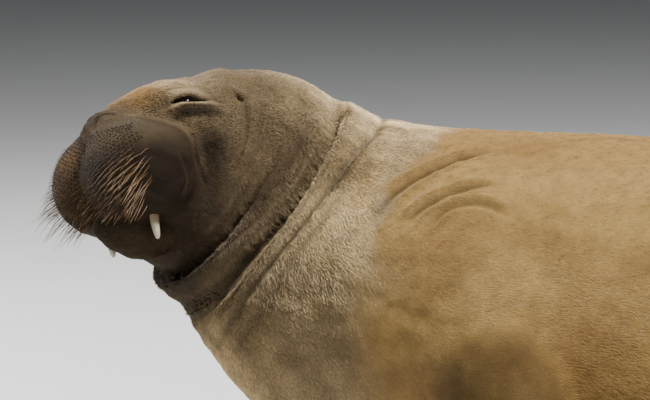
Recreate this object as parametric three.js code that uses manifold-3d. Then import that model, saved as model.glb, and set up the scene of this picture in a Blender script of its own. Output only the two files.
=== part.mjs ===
// A young walrus cow at life size, lying on her belly with her head raised and turned to her left.
// Millimetres, +Z up. She faces -X, and her left side faces -Y.
// Her flesh is a field of rounded masses that flow into each other. Each sub-part is the stretch of
// that field between two thin cuts, or a shape of its own that its neighbours are hollowed to take.
import * as THREE from "three";
import Module from "manifold-3d";
import { mergeVertices } from "three/addons/utils/BufferGeometryUtils.js";

const wasm = await Module();
wasm.setup();

const GAP = 0.3;
const DRAW = 6;
const FLOOR_DEPTH = 200;
const DEGREE = Math.PI / 180;

// Where the head sits: the point midway between the eyes, and how the head is turned from facing -X.
const EYE_MIDPOINT = new THREE.Vector3(186, -66, 602);
const HEAD_YAW = 42 * DEGREE;
const HEAD_ROLL = 19 * DEGREE;
const HEAD_PITCH = 3 * DEGREE;

// Stations down the spine: centre, half width, height over the centre and depth under it,
// and how square the section is (2 is an ellipse).
const SPINE = [
  { part: "skull", at: [232, -36, 545], wide: 150, up: 150, down: 170, square: 2 },
  { part: "jowl", at: [302, -14, 506], wide: 203, up: 203, down: 208, square: 2 },
  { part: "neck", at: [366, 0, 450], wide: 236, up: 226, down: 229, square: 2.05 },
  { part: "nape", at: [470, 0, 385], wide: 290, up: 243, down: 288, square: 2.1 },
  { part: "shoulders", at: [650, 0, 312], wide: 362, up: 286, down: 345, square: 2.2 },
  { part: "chest", at: [950, 0, 256], wide: 420, up: 320, down: 276, square: 2.3 },
  { part: "belly", at: [1340, 0, 238], wide: 425, up: 306, down: 258, square: 2.35 },
  { part: "loins", at: [1700, 0, 198], wide: 352, up: 262, down: 216, square: 2.3 },
  { part: "hips", at: [1990, 0, 146], wide: 248, up: 186, down: 160, square: 2.2 },
  { part: "rump", at: [2190, 0, 108], wide: 160, up: 112, down: 116, square: 2.1 },
  { part: "tail root", at: [2306, 0, 82], wide: 64, up: 44, down: 50, square: 2 },
];
const END_CAP = 46;

// Skin folds round the neck: how far down the spine each lies on her right side, at the nape, on her left
// side and at the throat, its depth, the breadth of the furrow, the angle round the section where it is
// deepest (0 is her right side, 90 the nape, 180 her left side, 270 the throat), and its reach each way.
const FOLDS = [
  { at: [80, 80, 88, 55], depth: 20, breadth: 14, deepest: 228, reach: 112 },
  { at: [96, 96, 96, 96], depth: 7, breadth: 8, deepest: 150, reach: 22 },
  { at: [145, 122, 152, 160], depth: 23, breadth: 17, deepest: 203, reach: 112 },
  { at: [230, 262, 211, 222], depth: 9, breadth: 22, deepest: 170, reach: 100 },
];

// Masses of the head in its own frame: forward, to her left, up, from the point midway between the eyes.
const SKULL_MASSES = [
  { part: "cranium", at: [-62, 0, -19], half: [128, 104, 92] },
  { part: "forehead", at: [14, 0, -12], half: [88, 76, 65] },
  { part: "bridge", at: [64, 0, -34], half: [76, 58, 56] },
  { part: "muzzle core", at: [76, 0, -98], half: [60, 80, 70] },
  { part: "throat", at: [-30, 0, -150], half: [104, 104, 84] },
];
const PAIRED_MASSES = [
  { part: "cheek", at: [-18, 68, -92], half: [92, 66, 88] },
  { part: "brow", at: [10, 66, 12], half: [42, 26, 24] },
  { part: "jowl", at: [-86, 86, -120], half: [86, 58, 84] },
];
const HEAD_FILLET = 40;
const NOSE = { at: [112, 0, -14], half: [34, 46, 27] };
const NOSTRIL = { at: [133, 26, 2], half: [16, 5, 8], turn: 38 * DEGREE };
const JAW_MASSES = [
  { part: "lower lip", at: [110, 0, -178], half: [54, 48, 36] },
  { part: "chin", at: [68, 0, -192], half: [64, 54, 44] },
];
const PAD_LOBES = [
  { part: "front lobe", at: [114, 57, -98], half: [66, 64, 75] },
  { part: "rear lobe", at: [66, 76, -108], half: [62, 52, 72] },
];
const PAD_FILLET = 30;
const EYE = { at: [4, 6], radius: 19, proud: -4 };
const LIDS = [
  { lid: "upper", up: 13, half: [42, 16, 20], sunk: 10 },
  { lid: "lower", up: -14, half: [40, 14, 18], sunk: 9 },
];
const SLIT = [26, 16, 4.5];
const EAR = { at: [-66, 2], half: [6, 9, 12] };
const TUSK = { root: [86, 60, -130], tip: [99, 60, -215], thick: 19, bow: 6, rows: 7 };

// Whiskers stand in staggered rows on each pad and grow longer towards its lower and outer edge.
const WHISKERS = { rows: 8, columns: 8, longest: 88, shortest: 13, thick: 3.6, seed: 7 };

// The forelimb leaves the chest below the shoulder. Its hand lies on the floor and points out and back.
const SHOULDER = { at: [705, 262, 330], half: [190, 108, 172] };
const UPPER_ARM = { at: [704, 318, 296], half: [118, 96, 170] };
const FOREARM = { from: [736, 356, 214], to: [812, 430, 50], radius: [98, 52] };
const HAND = { out: 36 * DEGREE, height: 13 };
const FINGERS = [
  { angle: 22, length: 322 },
  { angle: 10, length: 338 },
  { angle: -3, length: 316 },
  { angle: -16, length: 284 },
  { angle: -29, length: 238 },
];
const FINGER = { rootWide: 44, rootThick: 38, tipWide: 26, tipThick: 13, fillet: 13 };

// The hind limb leaves the rump at the heel and trails behind, sole down.
const HAUNCH = { at: [2090, 128, 92], half: [160, 92, 96] };
const SHANK = { from: [2146, 146, 78], to: [2268, 176, 44], radius: [76, 44] };
const FOOT = { out: 15 * DEGREE, height: 12 };
const TOES = [
  { angle: 20, length: 366 },
  { angle: 9.5, length: 324 },
  { angle: 0, length: 302 },
  { angle: -9.5, length: 316 },
  { angle: -20, length: 352 },
];
const TOE = { rootWide: 40, rootThick: 34, tipWide: 25, tipThick: 12, fillet: 13 };
const SOLE = 0.45;
const NAIL = { length: 19, wide: 8.4, low: 9.4, back: 27 };
const TAIL = { at: [2344, 0, 76], half: [84, 46, 27] };

// Where the trunk is divided, as distances down the spine, and how finely each stretch is faceted.
const CUTS = { head: 52, neck: 292, chest: 820, belly: 1330, tail: 2060 };
const FOLDED = { to: 196, step: 12 };
const SIDES = 38;
const FACE_CENTRE = [22, 0, -78];
const HEAD_ROWS = 7;
const FACE_ROWS = 9;
const TAIL_ROWS = 4;

const COLOURS = {
  coat: { color: 0x8a6a44, roughness: 0.85, metalness: 0 },
  face: { color: 0x6b543c, roughness: 0.85, metalness: 0 },
  pad: { color: 0x4a3524, roughness: 0.8, metalness: 0 },
  flipper: { color: 0x4e3a2a, roughness: 0.7, metalness: 0 },
  ivory: { color: 0xe6dcc4, roughness: 0.35, metalness: 0 },
  eye: { color: 0x120c0a, roughness: 0.1, metalness: 0 },
};

// Numbers drawn from a seed, so that the whiskers come out the same each time.
function seeded(seed) {
  let state = seed >>> 0;
  return () => {
    state = (state + 0x6d2b79f5) >>> 0;
    let t = Math.imul(state ^ (state >>> 15), state | 1);
    t ^= t + Math.imul(t ^ (t >>> 7), t | 61);
    return ((t ^ (t >>> 14)) >>> 0) / 4294967296;
  };
}

// Joins two fields with a fillet of breadth k between them.
function blend(a, b, k) {
  const h = Math.max(k - Math.abs(a - b), 0) / k;
  return Math.min(a, b) - (h * h * k) / 4;
}

// Distance to an ellipsoid, nearly: negative inside.
function ellipsoid(p, at, half) {
  const x = (p.x - at[0]) / half[0];
  const y = (p.y - at[1]) / half[1];
  const z = (p.z - at[2]) / half[2];
  const near = Math.hypot(x, y, z);
  const slope = Math.hypot(x / half[0], y / half[1], z / half[2]);
  return slope < 1e-9 ? -Math.min(...half) : (near * (near - 1)) / slope;
}

// Distance to a rod that tapers from one radius to another.
function taperedRod(p, from, to, radiusFrom, radiusTo) {
  const span = new THREE.Vector3().subVectors(to, from);
  const t = THREE.MathUtils.clamp(
    new THREE.Vector3().subVectors(p, from).dot(span) / span.lengthSq(), 0, 1);
  const nearest = new THREE.Vector3().copy(from).addScaledVector(span, t);
  return p.distanceTo(nearest) - THREE.MathUtils.lerp(radiusFrom, radiusTo, t);
}

const point = (a) => new THREE.Vector3(...a);
const mirrored = (a) => [a[0], -a[1], a[2]];

// The head's frame: forward, to her left and up, turned by yaw, roll and pitch in that order.
const headFrame = (() => {
  const forward = new THREE.Vector3(-Math.cos(HEAD_YAW), -Math.sin(HEAD_YAW), 0);
  const left = new THREE.Vector3(0, 0, 1).cross(forward);
  left.applyAxisAngle(forward, HEAD_ROLL);
  if (left.z < 0) left.applyAxisAngle(forward, -2 * HEAD_ROLL);
  const up = new THREE.Vector3().crossVectors(forward, left);
  forward.multiplyScalar(Math.cos(HEAD_PITCH)).addScaledVector(up, Math.sin(HEAD_PITCH)).normalize();
  up.crossVectors(forward, left);
  return new THREE.Matrix4().makeBasis(forward, left, up).setPosition(EYE_MIDPOINT);
})();
const toHead = headFrame.clone().invert();

// The spine as a smooth curve, sampled closely with the section at each sample.
const spineCurve = new THREE.CatmullRomCurve3(SPINE.map((s) => point(s.at)), false, "centripetal");
const SPINE_SAMPLES = 240;

// A smooth run of one number of the stations, read at a place that counts stations.
function along(key, place) {
  const values = SPINE.map((s) => s[key]);
  const i = Math.min(Math.floor(place), values.length - 2);
  const t = place - i;
  const [a, b, c, d] = [i - 1, i, i + 1, i + 2].map((n) => values[THREE.MathUtils.clamp(n, 0, values.length - 1)]);
  return 0.5 * (2 * b + (c - a) * t + (2 * a - 5 * b + 4 * c - d) * t * t + (3 * b - a - 3 * c + d) * t ** 3);
}

const spine = Array.from({ length: SPINE_SAMPLES + 1 }, (_, n) => {
  const t = n / SPINE_SAMPLES;
  const place = t * (SPINE.length - 1);
  const tangent = spineCurve.getTangent(t);
  const side = new THREE.Vector3(0, 0, 1).cross(tangent).normalize();
  return {
    centre: spineCurve.getPoint(t),
    tangent,
    side,
    up: new THREE.Vector3().crossVectors(tangent, side),
    wide: along("wide", place),
    high: along("up", place),
    deep: along("down", place),
    square: along("square", place),
  };
});
spine.forEach((s, n) => {
  s.distance = n ? spine[n - 1].distance + s.centre.distanceTo(spine[n - 1].centre) : 0;
});
const SPINE_LENGTH = spine[SPINE_SAMPLES].distance;

// The section at a distance down the spine, between samples.
function sectionAt(distance) {
  let n = spine.findIndex((s) => s.distance > distance);
  n = n < 1 ? (distance <= 0 ? 1 : SPINE_SAMPLES) : n;
  const [a, b] = [spine[n - 1], spine[n]];
  const t = THREE.MathUtils.clamp((distance - a.distance) / (b.distance - a.distance), 0, 1);
  const mix = (key) => THREE.MathUtils.lerp(a[key], b[key], t);
  const turn = (key) => new THREE.Vector3().lerpVectors(a[key], b[key], t);
  return {
    centre: turn("centre"), tangent: turn("tangent").normalize(), side: turn("side").normalize(),
    up: turn("up").normalize(), wide: mix("wide"), high: mix("high"), deep: mix("deep"), square: mix("square"),
  };
}

// Where a fold lies at an angle, as a smooth run through its four places.
function foldCentre([right, nape, left, throat], angle) {
  return (right + nape + left + throat) / 4 + ((right - left) / 2) * Math.cos(angle) +
    ((nape - throat) / 2) * Math.sin(angle) + ((right + left - nape - throat) / 4) * Math.cos(2 * angle);
}

// How far the folds draw the skin in, at a distance down the spine and an angle round it.
function foldDepth(distance, angle) {
  let depth = 0;
  for (const fold of FOLDS) {
    const turned = Math.abs(THREE.MathUtils.euclideanModulo(angle - fold.deepest + 180, 360) - 180);
    if (turned > fold.reach) continue;
    const fade = Math.cos((turned / fold.reach) * (Math.PI / 2)) ** 0.8;
    const centre = foldCentre(fold.at, angle * DEGREE);
    depth += fold.depth * fade * Math.exp(-Math.abs(distance - centre) / fold.breadth);
  }
  return depth;
}

// The spine's sample nearest to a point: every sixteenth is tried, then those either side of the best.
function nearestSample(p) {
  let best = 0;
  let least = Infinity;
  const consider = (n) => {
    const d = p.distanceToSquared(spine[n].centre);
    if (d < least) [least, best] = [d, n];
  };
  for (let n = 0; n <= SPINE_SAMPLES; n += 16) consider(n);
  const [first, last] = [Math.max(best - 16, 0), Math.min(best + 16, SPINE_SAMPLES)];
  for (let n = first; n <= last; n++) consider(n);
  return best;
}

// The trunk and neck: a tube of changing section round the spine, with the folds drawn in.
function trunk(p) {
  const nearest = nearestSample(p);
  const offset = new THREE.Vector3().subVectors(p, spine[nearest].centre);
  const distance = spine[nearest].distance + offset.dot(spine[nearest].tangent);
  const s = sectionAt(distance);
  offset.subVectors(p, s.centre);
  const across = offset.dot(s.side);
  const above = offset.dot(s.up);
  const past = Math.max(0, -distance, distance - SPINE_LENGTH);
  const tall = above > 0 ? s.high : s.deep;
  const norm = (Math.abs(across / s.wide) ** s.square + Math.abs(above / tall) ** s.square +
    (past / END_CAP) ** s.square) ** (1 / s.square);
  const size = Math.min(s.wide, tall);
  const angle = Math.atan2(above / tall, across / s.wide) / DEGREE;
  return (norm - 1) * size + foldDepth(distance, THREE.MathUtils.euclideanModulo(angle, 360));
}

const pairOf = (mass) => [mass, { ...mass, at: mirrored(mass.at) }];
const headMasses = [...SKULL_MASSES, ...PAIRED_MASSES.flatMap(pairOf)];

// The skull and face without the whisker pads and the lower jaw, in the head's frame.
function face(q) {
  let f = Infinity;
  for (const m of headMasses) f = blend(f, ellipsoid(q, m.at, m.half), HEAD_FILLET);
  return blend(f, ellipsoid(q, NOSE.at, NOSE.half), 18);
}

function pad(q, side) {
  const [a, b] = PAD_LOBES.map((m) => ellipsoid(q, [m.at[0], m.at[1] * side, m.at[2]], m.half));
  return blend(a, b, PAD_FILLET);
}

function jaw(q) {
  const [a, b] = JAW_MASSES.map((m) => ellipsoid(q, m.at, m.half));
  return blend(a, b, 24);
}

// The trunk with both shoulders, upper arms and haunches under its skin.
function torso(p) {
  const q = p.clone();
  q.y = -Math.abs(q.y);
  let f = trunk(p);
  f = blend(f, ellipsoid(q, mirrored(SHOULDER.at), SHOULDER.half), 110);
  f = blend(f, ellipsoid(q, mirrored(UPPER_ARM.at), UPPER_ARM.half), 36);
  return blend(f, ellipsoid(q, mirrored(HAUNCH.at), HAUNCH.half), 80);
}

// All her flesh but the whisker pads, the jaw and the flippers.
function body(p) {
  const flesh = torso(p);
  return p.x > 640 ? flesh : blend(flesh, face(p.clone().applyMatrix4(toHead)), 70);
}

// The same, at a place in the head's frame.
const hide = (q) => body(q.clone().applyMatrix4(headFrame));

// A hand or foot in its own frame: x along it, y across towards its leading edge, z up.
// Each digit is a flattened, tapering rod, and the fillets between the digits are the web. The sole
// is deeper than the back, for the floor to cut it flat.
function webbedPaw(q, digits, digit) {
  let f = Infinity;
  const height = q.z < 0 ? q.z * SOLE : q.z;
  for (const { angle, length } of digits) {
    const c = Math.cos(angle * DEGREE);
    const s = Math.sin(angle * DEGREE);
    const x = q.x * c + q.y * s;
    const y = -q.x * s + q.y * c;
    const t = THREE.MathUtils.clamp(x / length, 0, 1);
    const wide = THREE.MathUtils.lerp(digit.rootWide, digit.tipWide, t);
    const thick = THREE.MathUtils.lerp(digit.rootThick, digit.tipThick, t);
    const norm = Math.hypot((x - t * length) / wide, y / wide, height / thick);
    f = blend(f, (norm - 1) * thick, digit.fillet);
  }
  return f;
}

function gradient(field, p, step = 0.5) {
  const at = (x, y, z) => field(new THREE.Vector3(p.x + x, p.y + y, p.z + z));
  return new THREE.Vector3(
    at(step, 0, 0) - at(-step, 0, 0), at(0, step, 0) - at(0, -step, 0), at(0, 0, step) - at(0, 0, -step),
  ).divideScalar(2 * step);
}

// Closes a list of points and faces into a solid.
function solidFrom(points, faces) {
  const g = new THREE.BufferGeometry();
  g.setAttribute("position", new THREE.Float32BufferAttribute(points.flatMap((p) => [p.x, p.y, p.z]), 3));
  g.setIndex(faces);
  return solidOf(g);
}

function solidOf(geometry) {
  const g = geometry.clone();
  g.deleteAttribute("normal");
  g.deleteAttribute("uv");
  const merged = mergeVertices(g, 1e-4);
  return new wasm.Manifold(new wasm.Mesh({
    numProp: 3,
    vertProperties: merged.attributes.position.array,
    triVerts: new Uint32Array(merged.index.array),
  }));
}

// Grid lines from one place to another, and on to the next with another spacing.
function lines(from, ...runs) {
  const places = [from];
  for (const [to, step] of runs) {
    const start = places[places.length - 1];
    const count = Math.max(1, Math.round((to - start) / step));
    for (let n = 1; n <= count; n++) places.push(start + ((to - start) * n) / count);
  }
  return places;
}

const evenLines = (from, to, cell) => from.map((v, k) => lines(v - cell, [to[k] + cell, cell]));

// Wraps a field in a net of faces: one vertex in each cell of the grid that the surface crosses, then
// drawn onto it.
function net(field, grid) {
  const count = grid.map((places) => places.length);
  const at = (i, j, k) => (k * count[1] + j) * count[0] + i;
  const corner = (i, j, k) => new THREE.Vector3(grid[0][i], grid[1][j], grid[2][k]);
  const value = new Float64Array(count[0] * count[1] * count[2]);
  for (let k = 0; k < count[2]; k++)
    for (let j = 0; j < count[1]; j++)
      for (let i = 0; i < count[0]; i++) value[at(i, j, k)] = field(corner(i, j, k));
  const points = [];
  const faces = [];
  const vertex = new Map();
  for (let k = 0; k < count[2] - 1; k++)
    for (let j = 0; j < count[1] - 1; j++)
      for (let i = 0; i < count[0] - 1; i++) {
        const sum = new THREE.Vector3();
        let crossings = 0;
        for (let e = 0; e < 12; e++) {
          const axis = e >> 2;
          const a = [0, 0, 0];
          a[(axis + 1) % 3] = e & 1;
          a[(axis + 2) % 3] = (e >> 1) & 1;
          const b = [...a];
          b[axis] = 1;
          const va = value[at(i + a[0], j + a[1], k + a[2])];
          const vb = value[at(i + b[0], j + b[1], k + b[2])];
          if (va < 0 === vb < 0) continue;
          const pa = corner(i + a[0], j + a[1], k + a[2]);
          const pb = corner(i + b[0], j + b[1], k + b[2]);
          sum.add(pa.lerp(pb, va / (va - vb)));
          crossings++;
        }
        if (!crossings) continue;
        vertex.set(at(i, j, k), points.length);
        points.push(sum.divideScalar(crossings));
      }
  for (let k = 0; k < count[2] - 1; k++)
    for (let j = 0; j < count[1] - 1; j++)
      for (let i = 0; i < count[0] - 1; i++)
        for (let axis = 0; axis < 3; axis++) {
          if ([i, j, k].some((n, other) => other !== axis && n === 0)) continue;
          const step = [0, 0, 0];
          step[axis] = 1;
          const here = value[at(i, j, k)] < 0;
          if (here === value[at(i + step[0], j + step[1], k + step[2])] < 0) continue;
          const u = [0, 0, 0];
          const v = [0, 0, 0];
          u[(axis + 1) % 3] = 1;
          v[(axis + 2) % 3] = 1;
          const ring = [[0, 0], [1, 0], [1, 1], [0, 1]].map(([m, n]) =>
            vertex.get(at(i - m * u[0] - n * v[0], j - m * u[1] - n * v[1], k - m * u[2] - n * v[2])));
          if (!here) ring.reverse();
          const [a, b, c, d] = ring;
          if (points[a].distanceTo(points[c]) < points[b].distanceTo(points[d])) faces.push(a, b, c, a, c, d);
          else faces.push(a, b, d, b, c, d);
        }
  for (const p of points)
    for (let n = 0; n < 3; n++) {
      const g = gradient(field, p);
      const move = THREE.MathUtils.clamp(-field(p) / Math.max(g.length(), 0.2), -DRAW, DRAW);
      p.addScaledVector(g.normalize(), move);
    }
  return { points, faces };
}

// The same net with each point pushed out along its normal, to hollow a neighbour and leave a gap.
function grown({ points, faces }, by) {
  const normals = points.map(() => new THREE.Vector3());
  for (let n = 0; n < faces.length; n += 3) {
    const [a, b, c] = [0, 1, 2].map((m) => points[faces[n + m]]);
    const normal = new THREE.Vector3().subVectors(b, a).cross(new THREE.Vector3().subVectors(c, a));
    for (let m = 0; m < 3; m++) normals[faces[n + m]].add(normal);
  }
  return solidFrom(points.map((p, n) => p.clone().addScaledVector(normals[n].normalize(), by)), faces);
}

// How far from a point inside a field its surface lies along a ray.
function reach(field, from, ray, step = 10) {
  const at = (r) => field(from.clone().addScaledVector(ray, r));
  let low = 0;
  while (at(low + step) < 0 && low < 900) low += step;
  let high = low + step;
  for (let n = 0; n < 16; n++) {
    const middle = (low + high) / 2;
    if (at(middle) < 0) low = middle;
    else high = middle;
  }
  return low;
}

// Rows of points on a field's surface, one row to a frame, joined into a solid. A frame's rays lean
// ahead by its tilt. The last end is flat, or closes to a point of the surface when it has a pole.
function lattice(field, frames, { out = 0, pole = false } = {}) {
  const points = [];
  const faces = [];
  for (const f of frames)
    for (let n = 0; n < SIDES; n++) {
      const angle = ((n + 0.5) / SIDES) * 2 * Math.PI;
      const ray = f.side.clone().multiplyScalar(Math.cos(angle) * f.wide)
        .addScaledVector(f.up, Math.sin(angle) * (Math.sin(angle) > 0 ? f.high : f.deep)).normalize();
      ray.multiplyScalar(Math.cos(f.tilt)).addScaledVector(f.ahead, Math.sin(f.tilt));
      points.push(f.centre.clone().addScaledVector(ray, reach(field, f.centre, ray) + out));
    }
  for (let r = 0; r < frames.length - 1; r++)
    for (let n = 0; n < SIDES; n++) {
      const [a, b] = [r * SIDES + n, r * SIDES + ((n + 1) % SIDES)];
      const [c, d] = [a + SIDES, b + SIDES];
      if (points[a].distanceTo(points[d]) < points[b].distanceTo(points[c])) faces.push(a, d, c, a, b, d);
      else faces.push(a, b, c, b, d, c);
    }
  const [first, last] = [frames[0], frames[frames.length - 1]];
  const tip = last.centre.clone();
  if (pole) tip.addScaledVector(last.ahead, reach(field, last.centre, last.ahead) + out);
  const [hub, end, start] = [points.length, points.length + 1, (frames.length - 1) * SIDES];
  points.push(first.centre.clone(), tip);
  for (let n = 0; n < SIDES; n++) {
    const m = (n + 1) % SIDES;
    faces.push(hub, m, n, end, start + n, start + m);
  }
  const solid = solidFrom(points, faces);
  return solid.volume() < 0 ? solidFrom(points, faces.reverse()) : solid;
}

const framesAt = (distances) => distances.map((d) => {
  const s = sectionAt(d);
  return { ...s, ahead: s.tangent, tilt: 0 };
});

// Frames that fan out from one, up to nearly straight ahead.
function fan(frame, count) {
  return Array.from({ length: count }, (_, n) => ({ ...frame, tilt: ((n + 1) / (count + 1)) * (Math.PI / 2) }));
}

// Places down the spine from one to another, close together where the folds are.
function stationsBetween(from, to, step) {
  const folded = THREE.MathUtils.clamp(FOLDED.to, from, to);
  const places = folded > from ? lines(from, [folded, FOLDED.step]) : [from];
  return folded < to ? [...places, ...lines(folded, [to, step]).slice(1)] : places;
}

function box(size, at, matrix) {
  const g = new THREE.BoxGeometry(...size);
  g.translate(...at);
  if (matrix) g.applyMatrix4(matrix);
  return solidOf(g);
}

const floorBlock = box([4000, 3000, FLOOR_DEPTH], [1200, 0, -FLOOR_DEPTH / 2]);
const onFloor = (solid) => largest(solid.subtract(floorBlock));

function largest(solid) {
  return solid.decompose().sort((a, b) => b.volume() - a.volume())[0];
}

const inWorld = (n) => ({ points: n.points.map((p) => p.clone().applyMatrix4(headFrame)), faces: n.faces });

const padNet = (side) => inWorld(net((q) => pad(q, side),
  evenLines([-10, side > 0 ? -20 : -140, -180], [184, side > 0 ? 140 : 20, -12], 20)));

// Keeps the half of the head's frame on one side of its middle plane.
const halfOf = (solid, side) =>
  solid.subtract(box([800, 400, 800], [0, (GAP / 2 - 200) * side, -100], headFrame));

// A tapering tube down a path, closed to a point at its tip.
function taperedTube(path, radii, sides, up) {
  const points = [];
  const faces = [];
  const rows = path.length - 1;
  for (let r = 0; r < rows; r++) {
    const ahead = new THREE.Vector3().subVectors(path[r + 1], path[Math.max(r - 1, 0)]).normalize();
    const a = new THREE.Vector3().crossVectors(ahead, up).normalize();
    const b = new THREE.Vector3().crossVectors(ahead, a);
    for (let n = 0; n < sides; n++) {
      const angle = (n / sides) * 2 * Math.PI;
      points.push(path[r].clone().addScaledVector(a, Math.cos(angle) * radii[r])
        .addScaledVector(b, Math.sin(angle) * radii[r]));
    }
  }
  for (let r = 0; r < rows - 1; r++)
    for (let n = 0; n < sides; n++) {
      const [a, b] = [r * sides + n, r * sides + ((n + 1) % sides)];
      faces.push(a, b, a + sides, b, b + sides, a + sides);
    }
  const last = (rows - 1) * sides;
  for (let n = 0; n < sides; n++) faces.push(points.length, last + n, last + ((n + 1) % sides));
  points.push(path[rows]);
  for (let n = 1; n < sides - 1; n++) faces.push(0, n + 1, n);
  const solid = solidFrom(points, faces);
  return solid.volume() < 0 ? solidFrom(points, faces.reverse()) : solid;
}

function tusk(side, out) {
  const root = point([TUSK.root[0], TUSK.root[1] * side, TUSK.root[2]]);
  const tip = point([TUSK.tip[0], TUSK.tip[1] * side, TUSK.tip[2]]);
  const left = new THREE.Vector3().setFromMatrixColumn(headFrame, 1);
  const path = [];
  const radii = [];
  for (let n = 0; n <= TUSK.rows; n++) {
    const t = n / TUSK.rows;
    const p = new THREE.Vector3().lerpVectors(root, tip, Math.min(1.06 * t, 1));
    p.x += TUSK.bow * 4 * t * (1 - t);
    p.z -= n === TUSK.rows ? out : 0;
    path.push(p.applyMatrix4(headFrame));
    radii.push((TUSK.thick / 2) * Math.sqrt(1 - t ** 5) * (1 - 0.3 * t) + out);
  }
  return taperedTube(path, radii, 12, left);
}

// Whether a place in the head's frame is free for a whisker of one side.
function freeOfOthers(q, side) {
  const room = 2.5;
  const [root, tip] = [TUSK.root, TUSK.tip].map((a) => point([a[0] + 3, a[1] * side, a[2]]));
  return q.y * side > room && jaw(q) > room && hide(q) > room &&
    taperedRod(q, root, tip, TUSK.thick / 2, TUSK.thick / 2) > room;
}

// A whisker's middle and tip, from its root, with its own weight bending it down.
function sweep(root, away, length) {
  return [0.5 * length, length].map((d) => root.clone().addScaledVector(away, d).add(point([0, 0, -0.0016 * d * d])));
}

// One pad's whiskers: rooted on its skin, swept forward, down and a little in. One that would cross
// the jaw, a tusk or the cheek stands out more, or is left out.
function whiskers(side) {
  const draw = seeded(WHISKERS.seed + side);
  const made = [];
  const middle = point([PAD_LOBES[0].at[0] - 8, PAD_LOBES[0].at[1] * side, PAD_LOBES[0].at[2]]);
  for (let row = 0; row < WHISKERS.rows; row++)
    for (let column = 0; column < WHISKERS.columns; column++) {
      const low = (row + 0.5) / WHISKERS.rows;
      const out = (column + 0.25 + 0.5 * (row % 2)) / WHISKERS.columns;
      const turn = (THREE.MathUtils.lerp(-50, 66, out) + (draw() - 0.5) * 5) * DEGREE;
      const tilt = (THREE.MathUtils.lerp(46, -58, low) + (draw() - 0.5) * 5) * DEGREE;
      const ray = point([Math.cos(turn) * Math.cos(tilt), Math.sin(turn) * Math.cos(tilt) * side, Math.sin(tilt)]);
      const root = middle.clone().addScaledVector(ray, reach((q) => pad(q, side), middle, ray));
      const normal = gradient((q) => pad(q, side), root).normalize();
      const lean = point([0.42, side * THREE.MathUtils.lerp(-0.25, 0.34, out), -0.82]);
      const grow = Math.max(low ** 1.5, 0.8 * out ** 3);
      const length = THREE.MathUtils.lerp(WHISKERS.shortest, WHISKERS.longest, grow) * (0.8 + 0.4 * draw());
      const tries = [0.95, 1.3, 1.8, 2.6].map((stand) =>
        sweep(root, normal.clone().multiplyScalar(stand).add(lean).normalize(), length));
      const clear = tries.find(([bend, tip]) => {
        const quarter = root.clone().lerp(bend, 0.5).addScaledVector(normal, 1);
        const places = [quarter, bend, bend.clone().lerp(tip, 0.5), tip];
        return places.every((q) => freeOfOthers(q, side));
      });
      if (root.y * side < 7 || !clear) continue;
      const path = [root.clone().addScaledVector(normal, -5), ...clear].map((q) => q.applyMatrix4(headFrame));
      const thick = WHISKERS.thick * (0.8 + 0.4 * grow);
      made.push({ path, radii: [thick / 2, thick * 0.36] });
    }
  return made;
}

const jawNet = inWorld(net(jaw, evenLines([0, -60, -240], [166, 60, -140], 20)));
const leftPad = padNet(1);
const rightPad = padNet(-1);
const headUp = new THREE.Vector3().setFromMatrixColumn(headFrame, 2);

function padWithWhiskers(padNet_, side) {
  const cushion = halfOf(solidFrom(padNet_.points, padNet_.faces), side).subtract(tusk(side, GAP));
  const spines = whiskers(side).map(({ path, radii }) => taperedTube(path, radii, 3, headUp));
  return largest(wasm.Manifold.union([cushion, ...spines]));
}

// An ellipsoid for the head to be fused with or cut by. Its axes lie forward, out and up, square to
// the skin where it sits, and it is moved out of the skin and up along it.
function bead(at, half, { out = 0, up = 0, facets = [12, 7], turn = 0 } = {}) {
  const outward = gradient(hide, at).normalize();
  const forward = point([1, 0, 0]).projectOnPlane(outward).normalize();
  const upward = new THREE.Vector3().crossVectors(forward, outward).multiplyScalar(at.y < 0 ? -1 : 1);
  const g = new THREE.SphereGeometry(1, ...facets);
  g.scale(...half);
  g.rotateY(turn);
  g.translate(0, out, up);
  g.applyMatrix4(new THREE.Matrix4().makeBasis(forward, outward, upward).setPosition(at));
  g.applyMatrix4(headFrame);
  const solid = solidOf(g);
  return solid.volume() < 0 ? solidOf(g.setIndex([...g.index.array].reverse())) : solid;
}

// The place on the skin of the head straight out from its middle plane.
const skinAt = ([x, z], side) =>
  point([x, side * reach(hide, point([x, 0, z]), point([0, side, 0])), z]);

function eyeball(side, extra) {
  const r = EYE.radius + extra;
  return bead(skinAt(EYE.at, side), [r, r, r], { out: EYE.proud - EYE.radius, facets: [12, 8] });
}

const lids = (side) => LIDS.map(({ up, half, sunk }) =>
  bead(skinAt(EYE.at, side), half, { out: -sunk, up, facets: [14, 8] }));

function openings(side) {
  const nostril = point([NOSTRIL.at[0], NOSTRIL.at[1] * side, NOSTRIL.at[2]]);
  return [
    bead(skinAt(EYE.at, side), SLIT, { out: 4 }),
    bead(skinAt(EAR.at, side), EAR.half, { facets: [8, 6] }),
    bead(nostril, NOSTRIL.half, { facets: [10, 6], turn: NOSTRIL.turn * side }),
  ];
}

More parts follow.
